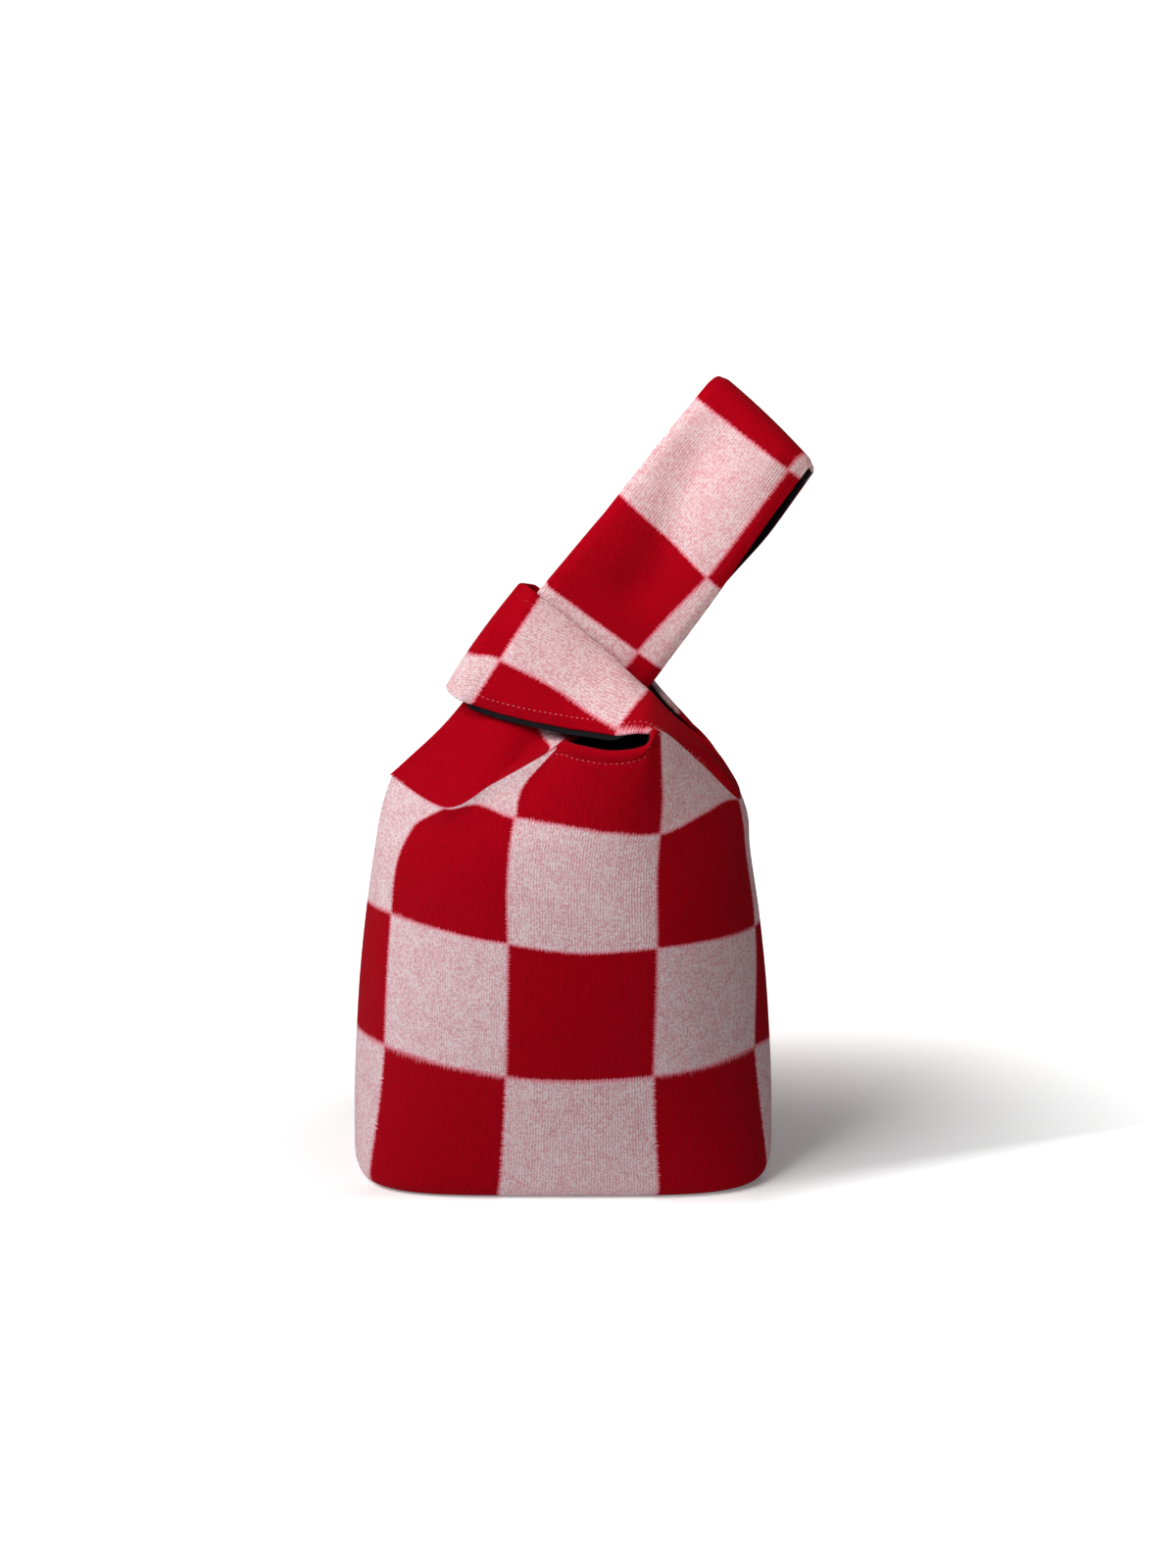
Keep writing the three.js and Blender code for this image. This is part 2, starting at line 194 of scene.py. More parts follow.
def lamp(name, place, target, size, watts, spread=180, colour=(1, 1, 1)):
    """A square soft lamp that looks at a target, with its beam narrowed to a spread in degrees."""
    data = bpy.data.lights.new(name, "AREA")
    data.color = colour
    data.size = size
    data.energy = watts
    data.spread = np.radians(spread)
    light = add_object(name, data)
    light.location = place
    light.rotation_euler = (Vector(target) - Vector(place)).to_track_quat("-Z", "Y").to_euler()


lamp("key", place=(-0.56, -0.42, 0.86), target=(0.0, 0.0, 0.2), size=0.5, watts=8.2)
lamp(
    "handles",
    place=(0.08, -0.76, 1.02),
    target=(0.07, 0.0, 0.38),
    size=0.15,
    watts=0.115,
    spread=28,
    colour=WARM,
)
world = bpy.data.worlds.new("studio")
world.use_nodes = True
world_tree = world.node_tree
sky_seen = add_node(world_tree, "ShaderNodeLightPath")["Is Camera Ray"]
sky_strength = calc("MULTIPLY_ADD", sky_seen, 1 - SKY_LIGHT, SKY_LIGHT)
feed(world_tree.nodes["Background"], Color=WHITE, Strength=sky_strength)
scene.world = world

paper, paper_tree, paper_shader = material_with_nodes("paper")
paper_seen = add_node(paper_tree, "ShaderNodeLightPath")["Is Camera Ray"]
paper_place = add_node(paper_tree, "ShaderNodeTexCoord")["Object"]
squeezed = stretched(paper_place, SHADOW_SQUEEZE, SHADOW_SHIFT)
from_middle = add_node(paper_tree, "ShaderNodeVectorMath", [("operation", "LENGTH")], Vector=squeezed)
paper_xyz = split(paper_place)
past_corner = calc("MAXIMUM", paper_xyz["X"], SHADOW_CORNER)
front_line = calc("MULTIPLY_ADD", past_corner, -SHADOW_SLOPE, paper_xyz["Y"])
around_shadow = between(from_middle["Value"], *SHADOW_REACH)
returned = calc("MAXIMUM", around_shadow, between(front_line, *SHADOW_FRONT))
glow = calc("MULTIPLY_ADD", returned, FLOOR_GLOW[1] - FLOOR_GLOW[0], FLOOR_GLOW[0])
feed(paper_shader, Base_Color=PAPER, Roughness=1.0, Specular_IOR_Level=0.0)
feed(paper_shader, Emission_Color=WHITE, Emission_Strength=calc("MULTIPLY", paper_seen, glow))

backdrop_points = [(x, y, z) for y, z in SWEEP for x in SWEEP_SIDES]
backdrop_faces = [(2 * i, 2 * i + 1, 2 * i + 3, 2 * i + 2) for i in range(len(SWEEP) - 1)]
backdrop_mesh = bpy.data.meshes.new("backdrop")
backdrop_mesh.from_pydata(backdrop_points, [], backdrop_faces)
backdrop_mesh.shade_smooth()
backdrop_mesh.materials.append(paper)
backdrop = add_object("backdrop", backdrop_mesh)
print("stage: two lamps, world and backdrop")

# %% [markdown]
# Shared shape tools. `through` is a smooth curve through chosen points (Catmull-Rom), which works just as
# well on whole rows of points; `smooth` is the usual ease-in, ease-out step, and `window` two of them.

# %% Curve tools


def smooth(f):
    """Ease in and out between 0 and 1."""
    f = np.clip(f, 0, 1)
    return f * f * (3 - 2 * f)


def window(at, low, high, rise, fall):
    """1 between two places, eased in over a rise after the first and out over a fall before the second."""
    return smooth((at - low) / rise) * smooth((high - at) / fall)


def mix(a, b, f):
    """Straight mix of two values."""
    return a + (b - a) * f


def unit(v):
    """Vectors made one long."""
    return v / np.maximum(np.linalg.norm(v, axis=-1, keepdims=True), 1e-9)


def through(points, at):
    """A smooth curve through points, at places counted in points; points may be whole rows of points."""
    points = np.asarray(points, float)
    last = len(points) - 1
    at = np.clip(np.asarray(at, float), 0, last)
    i = np.minimum(at.astype(int), last - 1)
    f = (at - i).reshape(at.shape + (1,) * (points.ndim - 1))
    a, b = points[np.maximum(i - 1, 0)], points[i]
    c, d = points[i + 1], points[np.minimum(i + 2, last)]
    leave, meet = (c - a) / 2, (d - b) / 2
    return b + f * (leave + f * (3 * (c - b) - 2 * leave - meet + f * (2 * (b - c) + leave + meet)))


def curve(table, at):
    """Smooth value at a place, from (place, value) pairs."""
    places, values = np.array(table, float).T
    at = np.asarray(at, float)
    counted = np.interp(at, places, np.arange(len(places)))
    return through(values[:, None], counted.ravel())[:, 0].reshape(at.shape)


print("curve tools ready")

# %% [markdown]
# The pouch. Its outer face is lofted through level sections: a rounded rectangle at the foot that turns into
# an ellipse as the cloth rises, with the belly sagging widest just above the base. The last line is the
# rim, which dips at the shoulders and pouts forward in the lip between the handles. A loft of a few
# measured sections keeps the sag smooth; five flat panels would look like a box. A collar line below the
# rim is averaged along it, so that the turns of the lip die out; at the seams it runs on round the back.

# %% Pouch shape
# Height, width, depth and squareness of each section; squareness 2 is an ellipse, 4 a rounded rectangle
SECTIONS = [
    (0.3, 202, 107, 4.4),
    (2.5, 210, 113, 4.2),
    (6, 214.5, 116.5, 3.9),
    (13, 217.5, 118.5, 3.4),
    (40, 217.5, 123, 2.5),
    (68, 215, 128, 2.1),
    (102, 210, 129, 1.95),
    (136, 202, 125, 1.9),
    (170, 191.5, 115, 1.9),
]
# Share of the way from the left seam to the right seam, then the place of the rim there
RIM = [
    (0.0, -86.8, -0.2, 207.5),
    (0.118, -57, -31, 200),
    (0.25, -33.5, -35, 213.5),
    (0.387, -5, -37.5, 231),
    (0.408, -0.5, -39.5, 235),
    (0.45, 9, -44, 233.8),
    (0.53, 25, -47, 232),
    (0.605, 40.5, -46.5, 234.5),
    (0.656, 48.5, -42.5, 242.5),
    (0.79, 69.5, -24.5, 220),
    (0.925, 88, -9.5, 198),
    (1.0, 89.8, -0.2, 200),
]
RIM_SHARES = np.array([row[0] for row in RIM])
RIM_POINTS = np.array([row[1:] for row in RIM], float)
LIP_LEFT, LIP_RIGHT = RIM[3][0], RIM[8][0]
# The collar: its way up to the rim, the share it averages over, and how that shrinks towards the seams
COLLAR_SHARE, COLLAR_SOFTNESS = 0.55, 0.05
COLLAR_FADE, COLLAR_LEAST = 0.12, 0.2
SHOULDER_BULGE = 2.0
SEAM_STEP = 0.004
RIM_LEVEL = len(SECTIONS) + 1


def section(height, width, depth, squareness, share):
    """One section's front half, walked from the left seam to the right seam by length."""
    angle = np.pi * (1 - np.linspace(0, 1, 401))
    c, s = np.cos(angle), np.abs(np.sin(angle))
    x = width / 2 * np.sign(c) * np.abs(c) ** (2 / squareness)
    y = -depth / 2 * s ** (2 / squareness)
    length = np.concatenate(([0], np.cumsum(np.hypot(np.diff(x), np.diff(y)))))
    at = share * length[-1]
    return np.stack([np.interp(at, length, x), np.interp(at, length, y), np.full(share.shape, height)], -1)


def on_front(shares):
    """Shares past a seam folded back onto the front, and the sign of y there."""
    near = np.where(shares < 0, -shares, np.where(shares > 1, 2 - shares, shares))
    return near, np.where(near == shares, 1, -1)


def rim(share):
    """The rim of the pouch; past a seam it goes on to the back."""
    near, side = on_front(share)
    points = through(RIM_POINTS, np.interp(near, RIM_SHARES, np.arange(len(RIM))))
    points[..., 1] *= side
    return points


def collar(share, below):
    """A line part of the way up to the rim, which smooths out the sharp turns of the lip."""
    inward = smooth(np.minimum(share, 1 - share) / COLLAR_FADE)
    reach = COLLAR_SOFTNESS * mix(COLLAR_LEAST, 1, inward)
    nearby = [rim(share + step * reach) for step in np.linspace(-1, 1, 7)]
    points = mix(below, np.mean(nearby, 0), COLLAR_SHARE)
    points[..., 0] += SHOULDER_BULGE * (1 - inward) * np.sign(share - 0.5)
    return points


def pouch(levels, shares):
    """Outer face of the front: level 0 is the foot, RIM_LEVEL the rim; past a seam it goes on to the back."""
    levels, shares = np.asarray(levels, float), np.asarray(shares, float)
    near, side = on_front(shares)
    lines = [section(*row, near) for row in SECTIONS]
    lines += [collar(near, lines[-1]), rim(near)]
    points = through(np.stack(lines), levels)
    points[..., 1] *= side
    return points


def outward(grid):
    """Unit normals of a grid of points: rows up the cloth, columns to the right, facing out."""
    return unit(np.cross(np.gradient(grid, axis=1), np.gradient(grid, axis=0)))


def pouch_face(levels, shares):
    """Points and normals of the front face, with normals that agree with the back along the seams."""
    grid = pouch(levels, np.concatenate(([-SEAM_STEP], shares, [1 + SEAM_STEP])))
    return grid[:, 1:-1], outward(grid)[:, 1:-1]


print("pouch stands", RIM_POINTS[:, 2].max(), "mm high at the lip")

# %% [markdown]
# Finishes. All the bag's cloths are ribs and fibres: felted together in the wool, fine in the lining. Each
# material could have its own nodes for that, but the effect is the same, so it is one shader group, built
# once and placed in each material with its own count and slant of ribs.

# %% Cloth relief
WOBBLE_SCALE, FIBRE_SCALE = 240.0, 1800.0
RIB_HEIGHT = 0.22
BUMP_STRENGTH = 0.7
CLOTH_ROUGHNESS, CLOTH_SHINE = 0.95, 0.01

relief = bpy.data.node_groups.new("cloth_relief", "ShaderNodeTree")
for socket, kind in (("Checks", "Vector"), ("Place", "Vector"), ("Ribs", "Float"), ("Slant", "Float")):
    relief.interface.new_socket(socket, in_out="INPUT", socket_type=f"NodeSocket{kind}")
for socket in ("Height", "Fibre", "Rib"):
    relief.interface.new_socket(socket, in_out="OUTPUT", socket_type="NodeSocketFloat")
relief_in = relief.nodes.new("NodeGroupInput").outputs
relief_out = relief.nodes.new("NodeGroupOutput")
checks_xyz = split(relief_in["Checks"])
slanted = calc("MULTIPLY_ADD", checks_xyz["Y"], relief_in["Slant"], checks_xyz["X"])
wobble = noise(relief_in["Place"], WOBBLE_SCALE)
rib_turns = calc("MULTIPLY_ADD", slanted, relief_in["Ribs"], wobble)
rib = calc("SINE", calc("MULTIPLY", rib_turns, 2 * np.pi))
fibre = noise(relief_in["Place"], FIBRE_SCALE, 3.0)
feed(relief_out, Height=calc("MULTIPLY_ADD", rib, RIB_HEIGHT, fibre), Fibre=fibre, Rib=rib)


def cloth_inputs(tree, ribs, slant):
    """The relief group in a material, with the piece's check map and its object coordinates."""
    at = add_node(tree, "ShaderNodeTexCoord")
    effect = [("node_tree", relief)]
    places = {"Checks": at["UV"], "Place": at["Object"]}
    return at, add_node(tree, "ShaderNodeGroup", effect, **places, Ribs=ribs, Slant=slant)


def finish_cloth(shader, colour, height, depth):
    """Colour, bump and the soft dull surface that all the cloths have."""
    tree = shader.id_data
    bump = add_node(tree, "ShaderNodeBump", Strength=BUMP_STRENGTH, Distance=depth, Height=height)
    feed(shader, Base_Color=colour, Normal=bump["Normal"])
    feed(shader, Roughness=CLOTH_ROUGHNESS, Specular_IOR_Level=CLOTH_SHINE)


print("relief group has", len(relief.nodes), "nodes")

# %% [markdown]
# The wool is woven in red and pale checks and felted. A checker texture laid through the bag would slide over
# the folds, so the wool reads the piece's own UV map, which counts in checks: every whole number is a border
# between two checks, and they run on from the pouch into the handles. The borders are frayed with stretched
# noise and turn a bright pink, because red and pale fibres mix there. The pale wool is heathered with pink
# by fine noise, coarser clouds and the ribs.

# %% Wool
RED = (0.43, 0.0008, 0.0095, 1)
RED_DARK = (0.3, 0.0005, 0.006, 1)
PALE = (0.86, 0.725, 0.745, 1)
PINK = (0.70, 0.34, 0.39, 1)
FRINGE = (0.82, 0.22, 0.29, 1)
RIBS_PER_CHECK = 52
# Hairs across the borders: how fine along and across, how far they reach and how soft, in checks
HAIRS_ALONG, HAIRS_ACROSS = 9, 120
FRAY, BORDER_SOFTNESS = 0.07, 0.045
FRINGE_STRENGTH = 3.4
SPECK_SCALE, CLOUD_SCALE = 720.0, 150.0
CLOUD_WEIGHT, RIB_WEIGHT = 0.32, 0.09
HEATHER = (0.92, 1.38)
RED_MOTTLE = (0.25, 0.65)
WOOL_RELIEF = 0.0006

wool, wool_tree, wool_shader = material_with_nodes("wool")
wool_at, wool_relief = cloth_inputs(wool_tree, RIBS_PER_CHECK, 0.0)
wool_fibre = wool_relief["Fibre"]
wool_xyz = split(wool_at["UV"])


def frayed_side(axis, hairs):
    """Soft 0 or 1 for odd and even checks along one axis, with hairs of wool across the border."""
    hair = noise(stretched(wool_at["UV"], hairs), 1.0)
    centred = calc("SUBTRACT", calc("MULTIPLY_ADD", hair, FRAY, wool_xyz[axis]), FRAY / 2)
    wave = calc("SINE", calc("MULTIPLY", centred, np.pi))
    return between(wave, -BORDER_SOFTNESS, BORDER_SOFTNESS)


column = frayed_side("X", (HAIRS_ALONG, HAIRS_ACROSS, 1))
row = frayed_side("Y", (HAIRS_ACROSS, HAIRS_ALONG, 1))
both = calc("MULTIPLY", column, row)
either = calc("SUBTRACT", calc("ADD", column, row), both)
is_pale = calc("SUBTRACT", calc("ADD", both, 1.0), either)
speck = noise(wool_at["Object"], SPECK_SCALE, 3.0)
cloud = noise(wool_at["Object"], CLOUD_SCALE)
flecks = calc("MULTIPLY_ADD", cloud, CLOUD_WEIGHT, calc("ADD", speck, wool_fibre))
grain = calc("MULTIPLY_ADD", wool_relief["Rib"], RIB_WEIGHT, flecks)
pale_colour = blend_colours(between(grain, *HEATHER), PINK, PALE)
red_colour = blend_colours(between(wool_fibre, *RED_MOTTLE), RED_DARK, RED)
check_colour = blend_colours(is_pale, red_colour, pale_colour)
at_border = calc("MULTIPLY", is_pale, calc("SUBTRACT", 1.0, is_pale))
wool_colour = blend_colours(calc("MULTIPLY", at_border, FRINGE_STRENGTH), check_colour, FRINGE)
finish_cloth(wool_shader, wool_colour, wool_relief["Height"], WOOL_RELIEF)
feed(wool_shader, Sheen_Weight=0.02, Sheen_Roughness=0.5)
print("wool has", len(wool_tree.nodes), "nodes")

# %% [markdown]
# The other finishes are plain: the black lining that shows in the mouth and along the handles' edges, the
# hidden fleece and board, and the pale thread of the topstitching. One flat colour would look like plastic,
# so two near shades are mixed along the fibres of the relief.

# %% Lining, fleece, board and thread
PLAIN_MOTTLE = (0.3, 0.7)


def plain_cloth(name, dark, light, ribs, depth):
    """A one-coloured cloth, mottled along its fibres."""
    material, tree, shader = material_with_nodes(name)
    _, given = cloth_inputs(tree, ribs, 1.0)
    colour = blend_colours(between(given["Fibre"], *PLAIN_MOTTLE), dark, light)
    finish_cloth(shader, colour, given["Height"], depth)
    return material


lining = plain_cloth("lining", (0.008, 0.008, 0.009, 1), (0.016, 0.016, 0.018, 1), 150, 0.0002)
fleece = plain_cloth("fleece", (0.62, 0.6, 0.55, 1), (0.8, 0.78, 0.73, 1), 20, 0.0006)
board = plain_cloth("board", (0.42, 0.41, 0.38, 1), (0.55, 0.54, 0.5, 1), 8, 0.0001)
thread = plain_cloth("thread", (0.55, 0.24, 0.27, 1), (0.8, 0.5, 0.54, 1), 120, 0.0001)
print("plain cloths: lining, fleece, board, thread")

# %% [markdown]
# Cloth with a thickness. Solidify could do it, but a folded edge of felt is round and a hidden end is flat,
# so the layer is built here: the outer face, round one edge, back over the inner face, and round the other
# edge, as a closed loop that is carried along the piece and capped at both ends. A face travels as one
# array: the point, the normal and the check map of each place, side by side.

# %% Cloth builder
EDGE_SIDES = 6
SHARP_ANGLE = np.radians(50)


def mesh_object(name, points, faces, checks, material):
    """A closed mesh in metres with its check map, normals out, smooth but for its sharp ends."""
    mesh = bpy.data.meshes.new(name)
    mesh.from_pydata((points * MM).tolist(), [], faces)
    corners = np.zeros(len(mesh.loops), np.int32)
    mesh.loops.foreach_get("vertex_index", corners)
    layer = mesh.uv_layers.new(name="checks")
    layer.data.foreach_set("uv", checks[corners].astype(np.float32).ravel())
    work = bmesh.new()
    work.from_mesh(mesh)
    bmesh.ops.recalc_face_normals(work, faces=work.faces)
    work.to_mesh(mesh)
    work.free()
    mesh.shade_smooth()
    mesh.set_sharp_from_angle(angle=SHARP_ANGLE)
    mesh.materials.append(material)
    return add_object(name, mesh)


def face_of(points, normals, checks):
    """Points, normals and check map of a face in one array."""
    return np.concatenate([points, normals, checks], -1)


def round_edge(outer, inner, way, roundness):
    """Points round the edge between an outer and an inner line, from the outer to the inner one."""
    middle = (outer + inner) / 2
    half = (outer - inner) / 2
    bulge = unit(way) * np.linalg.norm(half, axis=-1, keepdims=True)
    bulge = bulge * np.broadcast_to(roundness, len(outer))[:, None]
    angles = np.linspace(0, np.pi, EDGE_SIDES + 1)[1:-1]
    return np.stack([middle + half * np.cos(a) + bulge * np.sin(a) for a in angles], 1)


def ring_faces(rings, size):
    """Quads between closed rings of points that follow each other."""
    i, k = np.meshgrid(np.arange(rings - 1), np.arange(size), indexing="ij")
    after = (k + 1) % size
    quads = np.stack([i * size + k, i * size + after, (i + 1) * size + after, (i + 1) * size + k], -1)
    return quads.reshape(-1, 4).tolist()


def cloth(name, face, top, bottom, material, rounded=(1, 1)):
    """A closed layer between two depths below a face, carried along its rows, with rounded long edges."""
    points, out, checks = face[..., :3], face[..., 3:6], face[..., 6:]
    rows, cols = points.shape[:2]
    outer = points - out * np.broadcast_to(top, (rows, cols))[..., None]
    inner = points - out * np.broadcast_to(bottom, (rows, cols))[..., None]
    far = round_edge(outer[:, -1], inner[:, -1], points[:, -1] - points[:, -2], rounded[1])
    near = round_edge(outer[:, 0], inner[:, 0], points[:, 0] - points[:, 1], rounded[0])[:, ::-1]
    loops = np.concatenate([outer, far, inner[:, ::-1], near], 1)
    bend = EDGE_SIDES - 1
    edges = [np.repeat(checks[:, k : k + 1], bend, 1) for k in (cols - 1, 0)]
    map_loops = np.concatenate([checks, edges[0], checks[:, ::-1], edges[1]], 1)
    size = loops.shape[1]
    faces = ring_faces(rows, size)
    back = 2 * cols + bend - 1
    for first in (0, (rows - 1) * size):
        for j in range(cols - 1):
            faces.append([first + j, first + j + 1, first + back - j - 1, first + back - j])
        faces.append([first + cols - 1 + n for n in range(bend + 2)])
        faces.append([first + back + n for n in range(bend + 1)] + [first])
    return mesh_object(name, loops.reshape(-1, 3), faces, map_loops.reshape(-1, 2), material)


def mirrored(face):
    """The same points, normals or whole face on the other side of the bag."""
    other = face.copy()
    other[..., 1] *= -1
    if face.shape[-1] > 3:
        other[..., 4] *= -1
    return other


SIDES = (("front", np.copy), ("back", mirrored))


def settle(piece, slot, body, *nodes):
    """A piece of one body that stands for CAD nodes."""
    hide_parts(*nodes)
    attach(piece, body)
    print(piece.name, len(piece.data.polygons), "faces")


# %% [markdown]
# The two wool panels of the pouch. They are lofted from seam to seam; each profile runs up the outside,
# rolls over at the lip, and comes down inside. Where a handle grows out of the rim the end stays flat,
# because the cloth goes on there. The side seams draw the wool in a little, and the lip has the soft roll
# and the dent that a row of topstitching makes.

# %% Pouch wool
WOOL = 2.2
PLY_GAP = 0.3
FLEECE = 1.2
LINING = 0.7
# The lip is thicker down to a depth, and fades just above it; its relief is a roll and the stitches' dent
LIP_EASE, LIP_EXTRA, LIP_DEEP, LIP_FADE = 0.02, 1.6, 7, 4
HEM_ROLL, HEM_PLACE, HEM_WIDTH = 0.8, 1.5, 2.2
STITCH_DENT, STITCH_INSET, STITCH_WIDTH = 0.4, 5.0, 1.3
SEAM_DIP, SEAM_REACH = 0.9, 0.012
# Soft hills in the wool: their height, then waves along the cloth and up it, with a phase
SLACK = 0.45
SLACK_WAVES = [(7, 5, 0.6), (13, -6, 2.1), (21, 9, 0)]
SLACK_WINDOW = (0.25, 1, 0.3, 0.15)
# Rows of the panel: from one level to the next, and how many
LEVEL_RUNS = [(0, 3, 15), (3, 9, 60), (9, 9.6, 9), (9.6, RIM_LEVEL, 18)]
# The check map. Columns: where along the seam-to-seam way each border lies, at chosen levels; the first and
# last numbers are the column counts at the two seams. Rows: at which level each border lies, at chosen shares
COLUMN_BORDERS = [
    (0, 0.41, 0.150, 0.385, 0.667, 0.893, 4.43),
    (5, 0.41, 0.150, 0.398, 0.667, 0.893, 4.43),
    (7, 0.49, 0.135, 0.398, 0.685, 0.940, 4.24),
    (8, 0.52, 0.128, 0.391, 0.697, 0.945, 4.24),
    (9, 0.54, 0.096, 0.353, 0.692, 0.938, 4.26),
    (9.5, 0.55, 0.105, 0.342, 0.675, 0.935, 4.27),
    (10, 0.56, 0.118, 0.400, 0.655, 0.930, 4.28),
]
ROW_BORDERS = [
    [(0, 5.24), (0.15, 5.25), (0.4, 5.06), (0.53, 5.0), (0.67, 5.03), (0.9, 5.1), (1, 5.0)],
    [(0, 7.19), (0.135, 7.22), (0.4, 7.09), (0.535, 6.97), (0.685, 6.97), (0.94, 6.88), (1, 6.88)],
    [(0, 9.98), (0.118, 9.9), (0.208, 9.59), (0.352, 8.91), (0.525, 8.72), (0.7, 8.56), (0.8, 9.0),
     (0.93, 9.93), (1, 9.98)],
]
RIM_ROWS = [(0, 3.0), (0.118, 3.0), (0.212, 3.15), (0.355, 3.42), (0.45, 3.52), (0.53, 3.56), (0.605, 3.58),
            (0.656, 3.73), (0.79, 3.36), (0.925, 3.0), (1, 3.0)]


def pouch_checks(levels, shares):
    """Check map of the pouch: columns and rows counted between the borders."""
    table = np.array(COLUMN_BORDERS)
    borders = [curve(table[:, [0, k]], levels) for k in range(1, table.shape[1])]
    checks = np.zeros((len(levels), len(shares), 2))
    for i in range(len(levels)):
        left, *inner, right = [border[i] for border in borders]
        checks[i, :, 0] = np.interp(shares, [0, *inner, 1], [left, 1, 2, 3, 4, right])
    heights = [curve(border, shares) for border in ROW_BORDERS]
    rim_rows = curve(RIM_ROWS, shares)
    for j in range(len(shares)):
        row_levels = [0, *(height[j] for height in heights), RIM_LEVEL]
        checks[:, j, 1] = np.interp(levels, row_levels, [0, 1, 2, 3, rim_rows[j]])
    return checks


def hem(distance):
    """Relief of a stitched edge at a distance from it: a soft roll, then the dent of the stitches."""
    roll = HEM_ROLL * np.exp(-(((distance - HEM_PLACE) / HEM_WIDTH) ** 2))
    return roll - STITCH_DENT * np.exp(-(((distance - STITCH_INSET) / STITCH_WIDTH) ** 2))


def raised(points, normals, height):
    """Points moved along their normals by a height in millimetres."""
    return points + normals * height[..., None]


def slack(levels, shares):
    """Soft uneven hills in the wool, which die out at the foot, the rim and the seams."""
    up, along = np.meshgrid(levels / RIM_LEVEL, shares, indexing="ij")
    hills = sum(np.sin(a * along + b * up + phase) for a, b, phase in SLACK_WAVES)
    return SLACK * hills * np.sin(np.pi * along) * window(up, *SLACK_WINDOW)


runs = [np.linspace(*run, endpoint=False) for run in LEVEL_RUNS]
levels = np.concatenate([*runs, [RIM_LEVEL]])
shares = np.linspace(0, 1, 161)
points, out = pouch_face(levels, shares)
to_seam = np.minimum(shares, 1 - shares)
seam_dip = SEAM_DIP * np.exp(-((to_seam / SEAM_REACH) ** 2))
lip = window(shares, LIP_LEFT, LIP_RIGHT, LIP_EASE, LIP_EASE)
steps = np.linalg.norm(np.diff(points, axis=0), axis=-1)
below_rim = np.concatenate([np.cumsum(steps[::-1], 0)[::-1], np.zeros((1, len(shares)))])
points = raised(points, out, hem(below_rim) * lip - seam_dip + slack(levels, shares))
points[..., 1] -= PLY_GAP / 2
thickness = WOOL + LIP_EXTRA * lip * smooth((LIP_DEEP - below_rim) / LIP_FADE)
panel_face = face_of(points, out, pouch_checks(levels, shares))


def upright(grid):
    """Rows and columns exchanged, so that a panel is carried from seam to seam."""
    return np.swapaxes(grid, 0, 1)


for place, turn in SIDES:
    panel = cloth(f"{place}_wool", upright(turn(panel_face)), 0, thickness.T, wool, rounded=(0, lip))
    settle(panel, "wool", "bag_body", f"{place}_outer")

# %% [markdown]
# Behind the wool lie a fleece interlining, which gives the pouch its body, and the black lining, which shows
# in the mouth. Both are sheets on the same face, deeper in, and stop short of the lip. One thicker wall would
# be less work, but a look into the mouth shows separate layers.

# %% Pouch interlining and lining
SHEET_START, SHEET_ROWS = 1.8, 49
for name, slot, material, top, thick, last in (
    ("interlining", "fleece", fleece, WOOL + PLY_GAP, FLEECE, 0.35),
    ("lining", "lining", lining, WOOL + 2 * PLY_GAP + FLEECE, LINING, 0.1),
):
    inner_levels = np.linspace(SHEET_START, RIM_LEVEL - last, SHEET_ROWS)
    inner_points, inner_out = pouch_face(inner_levels, shares[::2])
    inner_points[..., 1] -= PLY_GAP / 2
    inner_face = face_of(inner_points, inner_out, pouch_checks(inner_levels, shares[::2]))
    for place, turn in SIDES:
        layer = upright(turn(inner_face))
        sheet = cloth(f"{place}_{name}_cloth", layer, top, top + thick, material, rounded=(0, 1))
        settle(sheet, slot, "bag_body", f"{place}_{name}")

# %% [markdown]
# The base is flat: wool outside, a stiff board that keeps it flat, and lining inside. A bevelled box would
# not follow the foot's corners, so each is the outline of the foot itself, set in by the wall's thickness,
# with a thickness of its own and softened edges.

# %% Base
BOARD = 1.5
BASE_SOFTNESS = 0.5
CHECK_SIZE = np.array([74, 68])


def base_layer(name, bottom, thick, material):
    """A flat layer inside the foot of the wall."""
    _, width, depth, squareness = SECTIONS[0]
    inset = WOOL + 2 * PLY_GAP
    front = section(0, width - 2 * inset, depth - 2 * inset, squareness, np.linspace(0, 1, 97))
    outline = np.concatenate([front, mirrored(front)[-2:0:-1]])
    soft = min(BASE_SOFTNESS, thick / 3)
    rings = []
    for shrink, z in ((soft, 0), (0, soft), (0, thick - soft), (soft, thick)):
        ring = outline * (1 - shrink / (depth / 2))
        ring[:, 2] = bottom + z
        rings.append(ring)
    size = len(outline)
    faces = [list(range(size)), list(range(3 * size, 4 * size)), *ring_faces(len(rings), size)]
    ring_points = np.concatenate(rings)
    return mesh_object(name, ring_points, faces, ring_points[:, :2] / CHECK_SIZE + 0.5, material)


board_bottom = WOOL + PLY_GAP
lining_bottom = board_bottom + BOARD + PLY_GAP
settle(base_layer("base_wool", 0, WOOL, wool), "wool", "bag_body", "base_outer")
settle(base_layer("base_board", board_bottom, BOARD, board), "board", "bag_body", "base_stiffener")
settle(base_layer("base_lining_cloth", lining_bottom, LINING, lining), "lining", "bag_body", "base_lining")

# %% [markdown]
# The handles grow out of the rim, each as a front and a back strap. A root starts on the rim in the
# direction of the wall and turns into the strap, so it is a patch between two lines with a chosen way at
# each end; its two free edges are arched lines.

